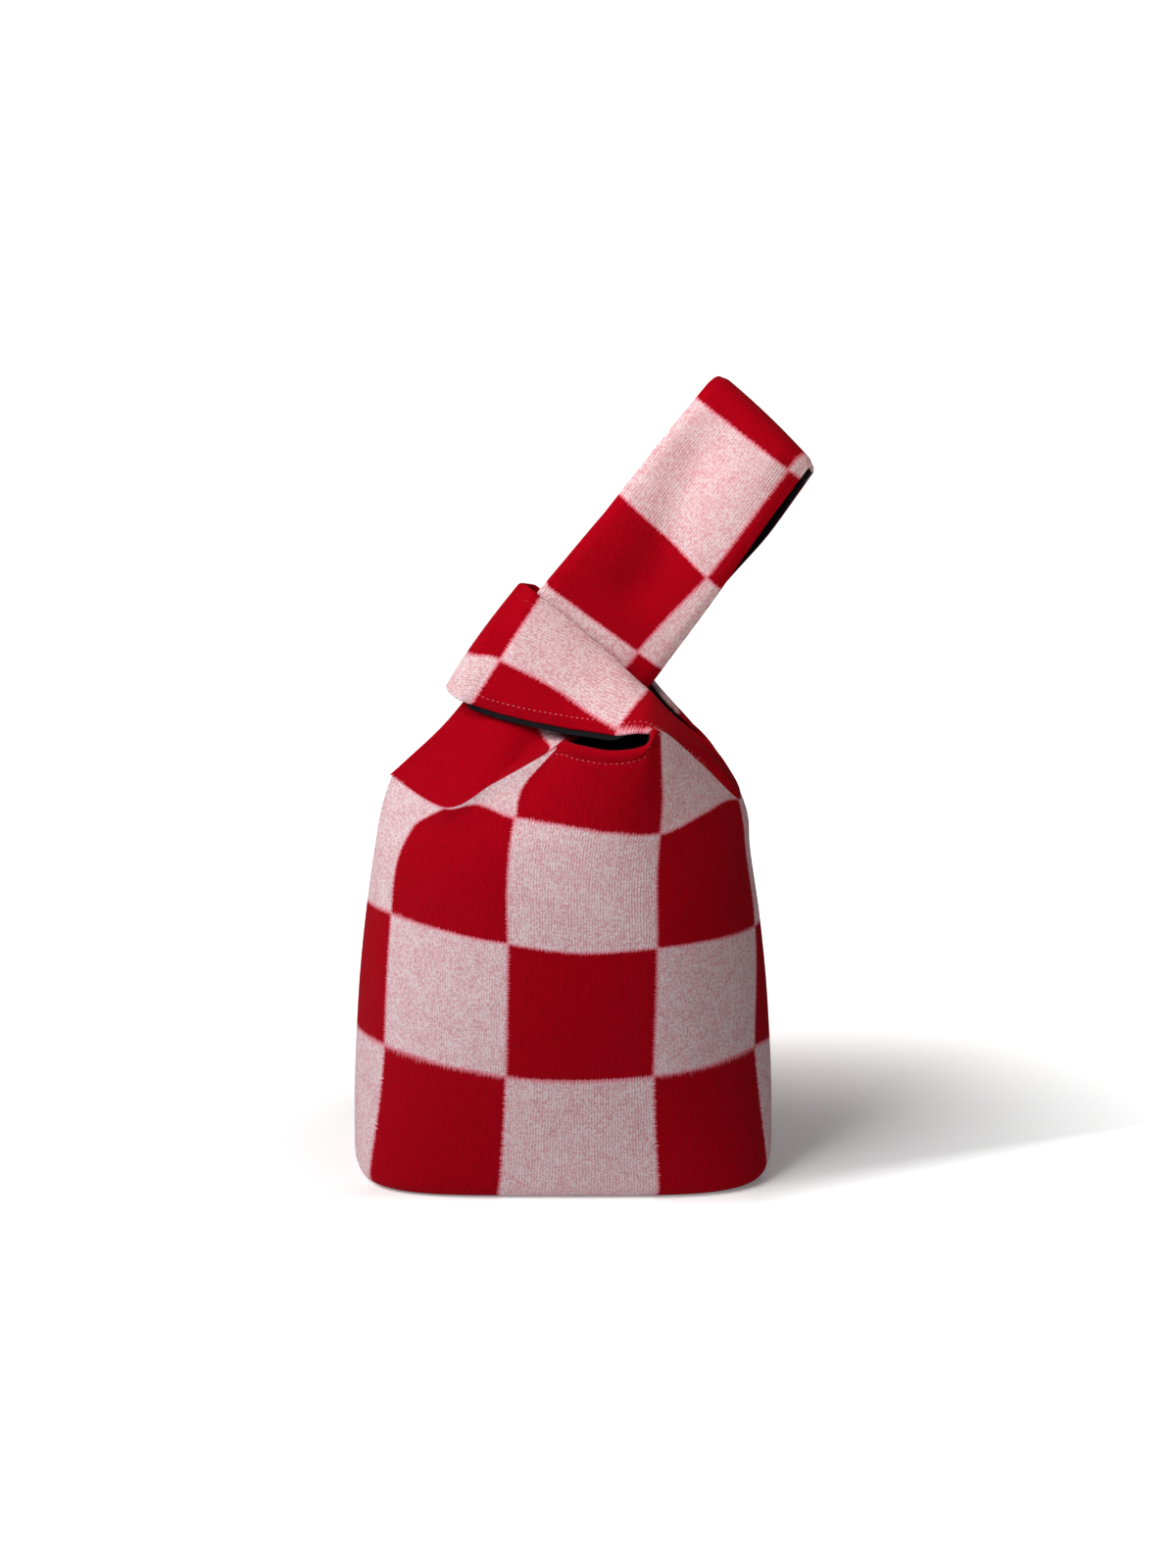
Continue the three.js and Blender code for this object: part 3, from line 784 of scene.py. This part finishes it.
# %% Strap roots
KNOT = np.array([2.0, 0.0, 259.0])
LEAN = np.radians(36.6)
ALONG = np.array([np.sin(LEAN), 0, np.cos(LEAN)])
ACROSS = np.array([np.cos(LEAN), 0, -np.sin(LEAN)])
FRONT = np.array([0.0, -1.0, 0.0])
ROOT_SWELL = 45
ROOT_LIFT = 0.05
ROOT_ROWS = 41
ROOT_EDGE_RISE = 0.3
EDGE_FALL, EDGE_REACH = 1.3, 2.4
LEVEL_STEP, SHARE_STEP = 0.04, 0.002
FOLD_ANGLES = np.linspace(0, np.pi / 2, 10)[1:]

root_f = np.linspace(0, 1, ROOT_ROWS)
strap_columns = np.linspace(0, 1, 57)


def rim_way(share):
    """The direction in which the wall meets the rim."""
    near_rim = pouch([RIM_LEVEL - LEVEL_STEP, RIM_LEVEL], share)
    return unit(near_rim[1] - near_rim[0])


def rim_normals(share):
    """Normals of the wall at the rim, which the first row of a root takes over."""
    before, after = (pouch([RIM_LEVEL], share + step)[0] for step in (-SHARE_STEP, SHARE_STEP))
    return unit(np.cross(after - before, rim_way(share)))


def root_patch(share, last, meet, edge_swells, low_swell=(0, 0, 0)):
    """Points from the rim to the line last, between two arched edges; the second may swell more low down.

    The arches 4 g (1 - g) and 6.75 g (1 - g) ** 2 are 1 at their peaks.
    """
    first = rim(share) + ROOT_LIFT * rim_way(share)
    first[:, 1] -= PLY_GAP / 2
    f = root_f[:, None, None]
    j = strap_columns
    ease = f * f * (3 - 2 * f)
    body = first * (1 - ease) + last * ease
    body = body + rim_way(share) * ROOT_SWELL * f * (1 - f) ** 2 + meet * ROOT_SWELL * f * f * (f - 1)
    g = f[:, 0]
    for edge, weight, swell, low in zip((0, -1), ((1 - j), j), edge_swells, ((0, 0, 0), low_swell)):
        arch = mix(first[edge], last[edge], g) + 4 * g * (1 - g) * np.array(swell)
        arch = arch + 6.75 * g * (1 - g) ** 2 * np.array(low)
        body = body + (arch - body[:, edge])[:, None] * weight[None, :, None]
    return body


def root_checks(base, top):
    """Check map of a root: from (column, p, q) points along the rim to the strap's own map."""
    at, p, q = np.array(base).T
    start = np.stack([np.interp(strap_columns, at, p), np.interp(strap_columns, at, q)], -1)
    ease = np.stack([smooth(root_f), root_f], -1)[:, None]
    return mix(start, top, ease)


def edge_roll(distance):
    """How far a turned edge falls back at a distance from it."""
    return EDGE_FALL * np.exp(-((distance / EDGE_REACH) ** 2))


def run_lengths(points):
    """Distance along each row of points from the row's first point."""
    steps = np.linalg.norm(np.diff(points, axis=1), axis=-1)
    return np.concatenate([np.zeros((len(points), 1)), np.cumsum(steps, 1)], 1)


def there_and_back(half, sign=1):
    """Rows up to a fold, and the same rows back down on its other side."""
    return np.concatenate([half, sign * half[-2::-1]])


def strap_normals(points, start, end):
    """Normals of a strap; those of its first and last rows may be given, where it grows out of the rim."""
    normals = outward(points)
    for row, given in ((0, start), (-1, end)):
        if given is not None:
            normals[row] = given
    return normals


def strap_face(points, checks, crown, edges, start=None, end=None, dent=0):
    """A strap's face, bulged along its middle by a crown, dented, and rolled back along its edges."""
    along_row = run_lengths(points)
    to_edge = np.minimum(along_row, along_row[:, -1:] - along_row)
    j = np.linspace(-1, 1, points.shape[1])
    height = crown[:, None] * (1 - j**2) - dent - edge_roll(to_edge) * edges[:, None]
    points = raised(points, strap_normals(points, start, end), height)
    return face_of(points, strap_normals(points, start, end), checks)


def trimmed(face, near, far, columns):
    """The strap between two distances from its edges, given for each row; below 0 reaches past the edge."""
    along_row = run_lengths(face[..., :3])
    near, far = np.broadcast_to(near, len(face)), np.broadcast_to(far, len(face))
    result = np.empty((len(face), columns, face.shape[2]))
    for i, (row, at) in enumerate(zip(face, along_row)):
        wanted = np.linspace(near[i], at[-1] - far[i], columns)
        for k in range(face.shape[2]):
            result[i, :, k] = np.interp(wanted, at, row[:, k])
        result[i, :, :3] += np.minimum(wanted, 0)[:, None] * unit(row[1, :3] - row[0, :3])
        result[i, :, :3] += np.maximum(wanted - at[-1], 0)[:, None] * unit(row[-1, :3] - row[-2, :3])
    return result


def hang(piece, slot, bodies, start, end, *nodes):
    """A piece with its placement baked into its mesh, which stands for CAD nodes."""
    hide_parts(*nodes)
    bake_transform(piece)
    print(piece.name, len(piece.data.polygons), "faces")


print("roots meet the rim at", np.round(rim(np.array([0, LIP_LEFT, LIP_RIGHT, 1])), 1).tolist())

# %% [markdown]
# The long handle: two straps through the knot, then side by side up to a fold at the top. It is made in two
# pieces, its lower length and its upper length, which meet just above the knot. A profile swept along a
# curve would give an even strap; here the width, the twist and the parting of the two straps change along
# the way, so a formula gives each point.

# %% Long handle
HANDLE_WIDTH, HANDLE_TOP_WIDTH = 71, 60.7
HANDLE_DRIFT = 1.8
HANDLE_TWIST = np.radians(12)
HANDLE_SHEAR = 0.16
HANDLE_REACH = 163
NECK_FACE, HANDLE_FACE = 4.7, 8.95
TAPER_START = 28
PART_START, PART_END = 38, 92
FOLD_START = HANDLE_REACH - HANDLE_FACE
SPLIT = 38
CROWN, NECK_CROWN, NECK_CROWN_START = 1.2, 0.3, 20
LONG_SWELLS = ((6.5, -2.5, 0), (-2, 6, 1))
LONG_EDGE_START = 0.1
STRAP_STACK = WOOL + LINING
LINING_EDGE, LINING_COLUMNS, LINING_START_ROW = 1.2, 33, 2
LONG_ROWS_LEFT = [(-95, 3.0), (-30, 4.0), (32, 5.0), (90, 6.0), (149, 7.0), (170, 7.36)]
LONG_ROWS_RIGHT = [(-95, 3.0), (-30, 4.0), (32, 5.0), (82, 6.0), (149, 7.0), (170, 7.36)]
LONG_LEFT_COLUMN = 0.22
LONG_BORDER = [(-30, 0.79), (32, 0.79), (57, 0.82), (83, 0.87), (116, 0.89), (150, 0.895), (170, 0.895)]
LONG_ROOT_CHECKS = [(0, 0.56, 3.0), (0.305, 0.96, 3.02), (0.646, 0.96, 3.52), (0.93, 0.96, 3.95),
                    (0.956, 1.0, 4.0), (1, 1.06, 4.06)]
# The two frame bodies of the handle's lower length, and where the bend between them starts and ends
SWAY = ("bag_body", "handle_bend"), KNOT + ALONG * 2, KNOT + ALONG * 36


def handle(s, j, n):
    """A point of the long handle: s along it from the knot, j across it, n in front of its middle."""
    f = np.clip((s - TAPER_START) / (HANDLE_REACH - TAPER_START), 0, 1)
    w = (j - 0.5) * mix(HANDLE_WIDTH, HANDLE_TOP_WIDTH, f) + HANDLE_DRIFT * f
    w = w - n * HANDLE_SHEAR * smooth(f)
    turn = HANDLE_TWIST * smooth(f)
    aside = w * np.cos(turn) - n * np.sin(turn)
    ahead = n * np.cos(turn) + w * np.sin(turn)
    return KNOT + ALONG * s[..., None] + ACROSS * aside[..., None] + FRONT * ahead[..., None]


def handle_face(s):
    """How far the front strap lies in front of the handle's middle."""
    return mix(NECK_FACE, HANDLE_FACE, smooth((s - PART_START) / (PART_END - PART_START)))


def over_grid(rows):
    """Row values and the strap's columns as two grids."""
    return np.meshgrid(rows, strap_columns, indexing="ij")


def handle_checks(s, j):
    """Check map of the long handle past its root."""
    column = mix(LONG_LEFT_COLUMN, 1, j / curve(LONG_BORDER, s))
    left, right = (np.interp(s, *np.array(rows).T) for rows in (LONG_ROWS_LEFT, LONG_ROWS_RIGHT))
    return np.stack([column, mix(left, right, j)], -1)


long_share = strap_columns * LIP_LEFT
neck_s, neck_j = over_grid(np.linspace(0, SPLIT, 21))
neck = handle(neck_s, neck_j, handle_face(neck_s))
long_root = root_patch(long_share, neck[0], ALONG, LONG_SWELLS)
neck_checks = handle_checks(neck_s, neck_j)
long_checks = np.concatenate([root_checks(LONG_ROOT_CHECKS, neck_checks[0])[:-1], neck_checks])
neck_crown = NECK_CROWN * smooth((neck_s[:, 0] - NECK_CROWN_START) / (SPLIT - NECK_CROWN_START))
long_crown = np.concatenate([CROWN * np.sin(np.pi * root_f[:-1]) ** 2, neck_crown])
root_edges = smooth((root_f[:-1] - LONG_EDGE_START) / ROOT_EDGE_RISE)
long_edges = np.concatenate([root_edges, np.ones(len(neck_s))])
long_points = np.concatenate([long_root[:-1], neck])
long_face = strap_face(long_points, long_checks, long_crown, long_edges, rim_normals(long_share))

for place, turn in SIDES:
    strap = cloth(f"long_handle_wool_{place}", turn(long_face), 0, WOOL, wool)
    hang(strap, "wool", *SWAY, f"long_root_outer_{place}", f"bend_outer_{place}")
    inside = trimmed(turn(long_face)[LINING_START_ROW:], LINING_EDGE, LINING_EDGE, LINING_COLUMNS)
    strap = cloth(f"long_handle_lining_{place}", inside, WOOL, STRAP_STACK, lining)
    hang(strap, "lining", *SWAY, f"long_root_lining_{place}", f"bend_lining_{place}")

# %% [markdown]
# The carrying loop is one strip: up the front, over the fold, down the back. It is a worn strap, not a
# ruler: its top runs askew, its right edge is pinched together there, a long shallow dent lies down its
# face, and the back half overhangs a little, with its black lining rolled out past the edge. A simulated
# cloth would fall into other folds than these, so they are written down as moves of the formula.

# %% Carrying loop
REACH_LEFT, REACH_RIGHT = 165, 158.5
EDGE_PINCH, PINCH_WIDTH, PINCH_HEIGHT = 0.55, 0.25, 45
# The dent: its depth in front and its share behind, its width, its way across the strap, its two ends
CARRY_DENT, BACK_DENT, DENT_WIDTH = 5.0, 0.5, 0.22
DENT_WAY = [(38, 0.52), (75, 0.5), (125, 0.3), (165, 0.25)]
DENT_RISE, DENT_FALL = 20, 30
BACK_OVERHANG, OVERHANG_START, OVERHANG_RISE = 2.0, 80, 40
CROWN_RISE = 25
LINING_ROLL, ROLL_ROWS = 0.8, 6
FOLDING = ("handle_bend", "carry_loop"), KNOT + ALONG * 54, KNOT + ALONG * 84

rise_f, rise_j = over_grid(np.linspace(0, 1, 50))
fold_angle, fold_j = over_grid(FOLD_ANGLES)
fold_radius = HANDLE_FACE * (1 - EDGE_PINCH * smooth((strap_columns - 1 + PINCH_WIDTH) / PINCH_WIDTH))
reach = mix(REACH_LEFT, REACH_RIGHT, strap_columns)
rise_s = mix(SPLIT, reach - fold_radius, rise_f)
fold_s = reach - fold_radius * (1 - np.sin(fold_angle))
closing = smooth((rise_s - rise_s[-1] + PINCH_HEIGHT) / PINCH_HEIGHT)
rise_n = handle_face(rise_s) * mix(1, fold_radius / HANDLE_FACE, closing)
carry_s = there_and_back(np.concatenate([rise_s, fold_s]))
carry_j = there_and_back(np.concatenate([rise_j, fold_j]))
half_n = np.concatenate([rise_n, fold_radius * np.cos(fold_angle)])
half_around = np.concatenate([0 * rise_s, fold_angle / np.pi])
carry_length = there_and_back(np.concatenate([rise_s, reach - fold_radius * (1 - fold_angle)]))
around = np.concatenate([half_around, 1 - half_around[-2::-1]])
overhang = BACK_OVERHANG * around * carry_j * smooth((carry_s - OVERHANG_START) / OVERHANG_RISE)
carry_points = handle(carry_s, carry_j, there_and_back(half_n, -1)) + ACROSS * overhang[..., None]
carry_checks = handle_checks(carry_length, carry_j)
carry_crown = mix(NECK_CROWN, CROWN, smooth((carry_s[:, 0] - SPLIT) / CROWN_RISE))
dent = np.exp(-(((carry_j - curve(DENT_WAY, carry_s)) / DENT_WIDTH) ** 2)) * mix(1, BACK_DENT, around)
dent *= CARRY_DENT * window(carry_s, SPLIT, FOLD_START, DENT_RISE, DENT_FALL)
carry_face = strap_face(carry_points, carry_checks, carry_crown, np.ones(len(carry_points)), dent=dent)

strap = cloth("carry_wool", carry_face, 0, WOOL, wool)
hang(strap, "wool", *FOLDING, "carry_outer_front", "carry_outer_back")
rolled = smooth((np.arange(len(carry_face)) - len(half_n)) / ROLL_ROWS)
inside = trimmed(carry_face, LINING_EDGE, mix(LINING_EDGE, -LINING_ROLL, rolled), LINING_COLUMNS)
strap = cloth("carry_lining", inside, WOOL, STRAP_STACK, lining)
hang(strap, "lining", *FOLDING, "carry_lining_front", "carry_lining_back")

# %% [markdown]
# The short handle goes round the long one as one strip: from the right shoulder up over the front, round
# its folded end on the left, and back down behind. Its rails are curves, because the loop hangs slack and
# its lower edge sags over the mouth, where its black lining peeps out. The upper corner of its end is
# pinched together, and the back half's checks are a little further on than the front's. Its back root
# falls a little short of the front one, so that rolled lining shows between them at the shoulder.

# %% Short handle
LOOP_RISE = np.radians(30)
LOOP_ALONG = np.array([-np.cos(LOOP_RISE), 0, np.sin(LOOP_RISE)])
LOOP_UP = np.array([np.sin(LOOP_RISE), 0, np.cos(LOOP_RISE)])
LOOP_FACE, LOOP_END = 9.4, 40
LOOP_TIP = LOOP_END + LOOP_FACE
LOOP_AWAY, AWAY_END = 5, -5
# Along the loop: where its upper and lower edges lie, and how far the lower one flares out
LOOP_UPPER = [(-40, 18.5), (-5, 24), (30, 29.5), (42, 29.5), (LOOP_TIP, 24)]
LOOP_LOWER = [(-40, 5.5), (-30, -3.2), (-10, -14.5), (17, -26), (40, -33), (LOOP_TIP, -34)]
LOOP_FLARE = [(-40, 28), (-10, 20), (17, 12), (40, 4), (LOOP_TIP, 3)]
LOOP_PINCH, PINCH_START, PINCH_EASE, FLAT_AHEAD = 0.72, 34, 8, 5
SHORT_SWELLS, SHORT_LOW_SWELL = ((0, 0, 1), (0.5, -11, 0.5)), (3, 0, 2.5)
SHOULDER_PARTING = np.array([-2.4, 0, -2.4])
# The lining: how far it shows at the mouth and the shoulder, and the lengths of the loop where it does
LINING_PEEP, PEEP_AHEAD, PEEP_COLUMNS = 3.6, 1.4, 5
PEEP_WINDOW = (-42, 46, 14, 14)
SHOULDER_ROLL, SHOULDER_WINDOW = 1.8, (-60, -10, 14, 12)
CORNER_INSET, CORNER_START, CORNER_EASE = 4, 26, 8
SHORT_LINING_COLUMNS = 41
# Rows that the lining and the stitches leave out at both shoulders
LINING_TRIM, STITCH_TRIM = 5, 6
# The check map: the border between two columns, and the rows' start, slant, length and stretch
LOOP_BORDER = [(-40, -0.01), (-36, 0.018), (-1, 0.339), (34, 0.411), (49, 0.357), (55, 0.35)]
ROW_START, ROW_SLANT, ROW_LENGTH, ROW_STRETCH = 30, 7, 65.2, 3.6
BACK_CHECK_SHIFT = 0.35
SHORT_ROOT_CHECKS = [(0, 3.975, 3.84), (0.06, 4.02, 3.8), (0.39, 4.015, 3.42), (0.78, 4.03, 3.02),
                     (1, 4.28, 3.02)]
SLIDING = ("bag_body", "short_loop"), KNOT - LOOP_ALONG * 46, KNOT - LOOP_ALONG * 15


def loop_face(c, j):
    """How far the loop lies in front of its middle; its upper corner is pinched towards its end."""
    away = LOOP_AWAY * smooth((AWAY_END - c) / (LOOP_END + AWAY_END))
    return LOOP_FACE * (1 - LOOP_PINCH * smooth((c - PINCH_START) / PINCH_EASE) * j**2) + away


def loop(c, j, depth_share):
    """A point of the short loop: c along it to its end, j from the mouth edge to the upper edge."""
    d = mix(curve(LOOP_LOWER, c), curve(LOOP_UPPER, c), j)
    ahead = (loop_face(c, j) + (1 - j) * curve(LOOP_FLARE, c)) * depth_share
    return KNOT + LOOP_ALONG * c[..., None] + LOOP_UP * d[..., None] + FRONT * ahead[..., None]


def loop_checks(c, j):
    """Check map of the short loop."""
    on_loop = np.minimum(c, LOOP_TIP)
    width = curve(LOOP_UPPER, on_loop) - curve(LOOP_LOWER, on_loop)
    column = 4 + (j - curve(LOOP_BORDER, c)) * width / CHECK_SIZE[0]
    return np.stack([column, 4 + (c + ROW_START + ROW_SLANT * j) / (ROW_LENGTH + ROW_STRETCH * j)], -1)


short_share = mix(LIP_RIGHT, 1, strap_columns)
loop_c, loop_j = over_grid(np.linspace(-LOOP_END, LOOP_END, 40))
end_angle, end_j = over_grid(FOLD_ANGLES)
front_loop = loop(loop_c, loop_j, np.ones(loop_c.shape))
end_reach = loop_face(LOOP_END, end_j)
loop_end = loop(LOOP_END + end_reach * np.sin(end_angle), end_j, np.cos(end_angle))
root_front = root_patch(short_share, front_loop[0], LOOP_ALONG, SHORT_SWELLS, SHORT_LOW_SWELL)
parting = 4 * (root_f * (1 - root_f))[:, None, None] * (strap_columns**2)[:, None]
root_back = root_front + parting * SHOULDER_PARTING
short_front = np.concatenate([root_front[:-1], front_loop, loop_end])
short_back = np.concatenate([root_back[:-1], front_loop, loop_end])
short_points = np.concatenate([short_front, mirrored(short_back)[-2::-1]])
front_map = loop_checks(loop_c, loop_j)
end_map = loop_checks(LOOP_END + LOOP_FACE * end_angle, end_j)
front_checks = np.concatenate([root_checks(SHORT_ROOT_CHECKS, front_map[0])[:-1], front_map, end_map])
back_checks = front_checks[-2::-1].copy()
back_checks[..., 1] += BACK_CHECK_SHIFT * smooth(np.linspace(0, 4, len(back_checks)))[:, None]
short_checks = np.concatenate([front_checks, back_checks])
crown_root = CROWN * np.sin(np.pi * root_f[:-1] / 2) ** 2
end_flat = 1 - smooth((loop_c[:, 0] - PINCH_START + FLAT_AHEAD) / PINCH_EASE)
at_end = np.zeros(len(end_angle))
short_crown = there_and_back(np.concatenate([crown_root, CROWN * end_flat, at_end]))
short_edges = there_and_back(np.concatenate([smooth(root_f[:-1] / ROOT_EDGE_RISE), end_flat, at_end]))
ends = rim_normals(short_share)
short_face = strap_face(short_points, short_checks, short_crown, short_edges, ends, mirrored(ends))

strap = cloth("short_handle_wool", short_face, 0, WOOL, wool)
hang(strap, "wool", *SLIDING,
     "short_root_outer_front", "short_root_outer_back", "short_loop_outer_front", "short_loop_outer_back")
inside_rows = short_face[LINING_TRIM:-LINING_TRIM]
mouth_c, upper_c = ((inside_rows[:, column, :3] - KNOT) @ LOOP_ALONG for column in (0, -1))
peep = window(mouth_c, *PEEP_WINDOW)
behind = np.arange(len(inside_rows)) > len(short_front)
upper_inset = mix(LINING_EDGE, -SHOULDER_ROLL, behind * window(upper_c, *SHOULDER_WINDOW))
upper_inset += CORNER_INSET * smooth((upper_c - CORNER_START) / CORNER_EASE)
mouth_inset = mix(3 * LINING_EDGE, -LINING_PEEP, peep)
inside = trimmed(inside_rows, mouth_inset, upper_inset, SHORT_LINING_COLUMNS)
ahead = peep[:, None] * PEEP_AHEAD * smooth(1 - np.arange(SHORT_LINING_COLUMNS) / PEEP_COLUMNS)
strap = cloth("short_handle_lining", inside, WOOL - ahead, STRAP_STACK - ahead, lining)
hang(strap, "lining", *SLIDING,
     "short_root_lining_front", "short_root_lining_back", "short_loop_lining_front", "short_loop_lining_back")

# %% [markdown]
# Topstitching runs along the lip and both edges of the loops. Each stitch is the same small pill, so
# Geometry Nodes make the rows: a line of edges becomes a curve, the curve is cut at the stitch pitch, and a
# pill is set on each point, turned along the row and up from the cloth.

# %% Stitch rows
STITCH_PITCH, STITCH_LENGTH, STITCH_THICKNESS = 2.7, 1.4, 0.25
# How deep the rows sink into the pile
SHALLOW, DEEP = 0.04, 0.13
LIP_FULL = 0.99


def stitch_row_tree():
    """Geometry Nodes tree that sets a stitch at every pitch along a line of edges."""
    tree = bpy.data.node_groups.new("stitch_row", "GeometryNodeTree")
    sizes = [(name, "Float") for name in ("Pitch", "Length", "Thickness")]
    for name, kind in (("Geometry", "Geometry"), *sizes, ("Thread", "Material")):
        tree.interface.new_socket(name, in_out="INPUT", socket_type=f"NodeSocket{kind}")
    tree.interface.new_socket("Geometry", in_out="OUTPUT", socket_type="NodeSocketGeometry")
    given = tree.nodes.new("NodeGroupInput").outputs
    result = tree.nodes.new("NodeGroupOutput")

    def node(kind, settings=(), **inputs):
        return add_node(tree, kind, settings, **inputs)[0]

    thick = given["Thickness"]
    line = node("GeometryNodeMeshToCurve", Mesh=given["Geometry"])
    cut = node("GeometryNodeResampleCurve", [("mode", "LENGTH")], Curve=line, Length=given["Pitch"])
    up = node("GeometryNodeInputNamedAttribute", [("data_type", "FLOAT_VECTOR")], Name="up")
    tangent = node("GeometryNodeInputTangent")
    axes = [("primary_axis", "X"), ("secondary_axis", "Z")]
    turn = node("FunctionNodeAxesToRotation", axes, Primary_Axis=tangent, Secondary_Axis=up)
    pill = node("GeometryNodeMeshUVSphere", Segments=8, Rings=5, Radius=0.5)
    size = node("ShaderNodeCombineXYZ", X=given["Length"], Y=thick, Z=thick)
    sized = node("GeometryNodeTransform", Geometry=pill, Scale=size)
    row = node("GeometryNodeInstanceOnPoints", Points=cut, Instance=sized, Rotation=turn)
    soft = node("GeometryNodeSetShadeSmooth", Geometry=node("GeometryNodeRealizeInstances", Geometry=row))
    feed(result, Geometry=node("GeometryNodeSetMaterial", Geometry=soft, Material=given["Thread"]))
    return tree


stitch_row = stitch_row_tree()


def stitches(name, line, sink):
    """A row of stitches along a line of a face, sunk a little into the pile, as one plain mesh."""
    mesh = bpy.data.meshes.new(name)
    places = line[:, :3] - sink * line[:, 3:6]
    mesh.from_pydata((places * MM).tolist(), [(i, i + 1) for i in range(len(line) - 1)], [])
    up = mesh.attributes.new("up", "FLOAT_VECTOR", "POINT")
    up.data.foreach_set("vector", line[:, 3:6].astype(np.float32).ravel())
    piece = add_object(name, mesh)
    modifier = piece.modifiers.new("stitch_row", "NODES")
    modifier.node_group = stitch_row
    values = {
        "Pitch": STITCH_PITCH * MM,
        "Length": STITCH_LENGTH * MM,
        "Thickness": STITCH_THICKNESS * MM,
        "Thread": thread,
    }
    for socket in stitch_row.interface.items_tree:
        if socket.in_out == "INPUT" and socket.name in values:
            modifier[socket.identifier] = values[socket.name]
    evaluated = piece.evaluated_get(bpy.context.evaluated_depsgraph_get())
    finished = bpy.data.meshes.new_from_object(evaluated)
    piece.modifiers.clear()
    piece.data = finished
    return piece


def edge_lines(face):
    """The two stitch lines of a strap, along its first and last columns."""
    lines = trimmed(face, STITCH_INSET, STITCH_INSET, 2)
    return lines[:, 0], lines[:, 1]


lip_columns = lip > LIP_FULL
stitch_depth = np.abs(below_rim - STITCH_INSET).argmin(0)
lip_line = panel_face[stitch_depth, np.arange(len(shares))][lip_columns]
for place, turn in SIDES:
    row = stitches(f"lip_stitches_{place}", turn(lip_line), SHALLOW)
    settle(row, "thread", "bag_body", f"lip_stitch_{place}")
for edge, line in zip(("outer", "mouth"), edge_lines(carry_face)):
    row = stitches(f"carry_stitches_{edge}", line, DEEP)
    hang(row, "thread", *FOLDING, f"carry_stitch_{edge}")
short_lines = edge_lines(short_face[STITCH_TRIM:-STITCH_TRIM])
for edge, line, sink in zip(("mouth", "outer"), short_lines, (SHALLOW, DEEP)):
    row = stitches(f"short_handle_stitches_{edge}", line, sink)
    hang(row, "thread", *SLIDING, f"short_loop_stitch_{edge}")
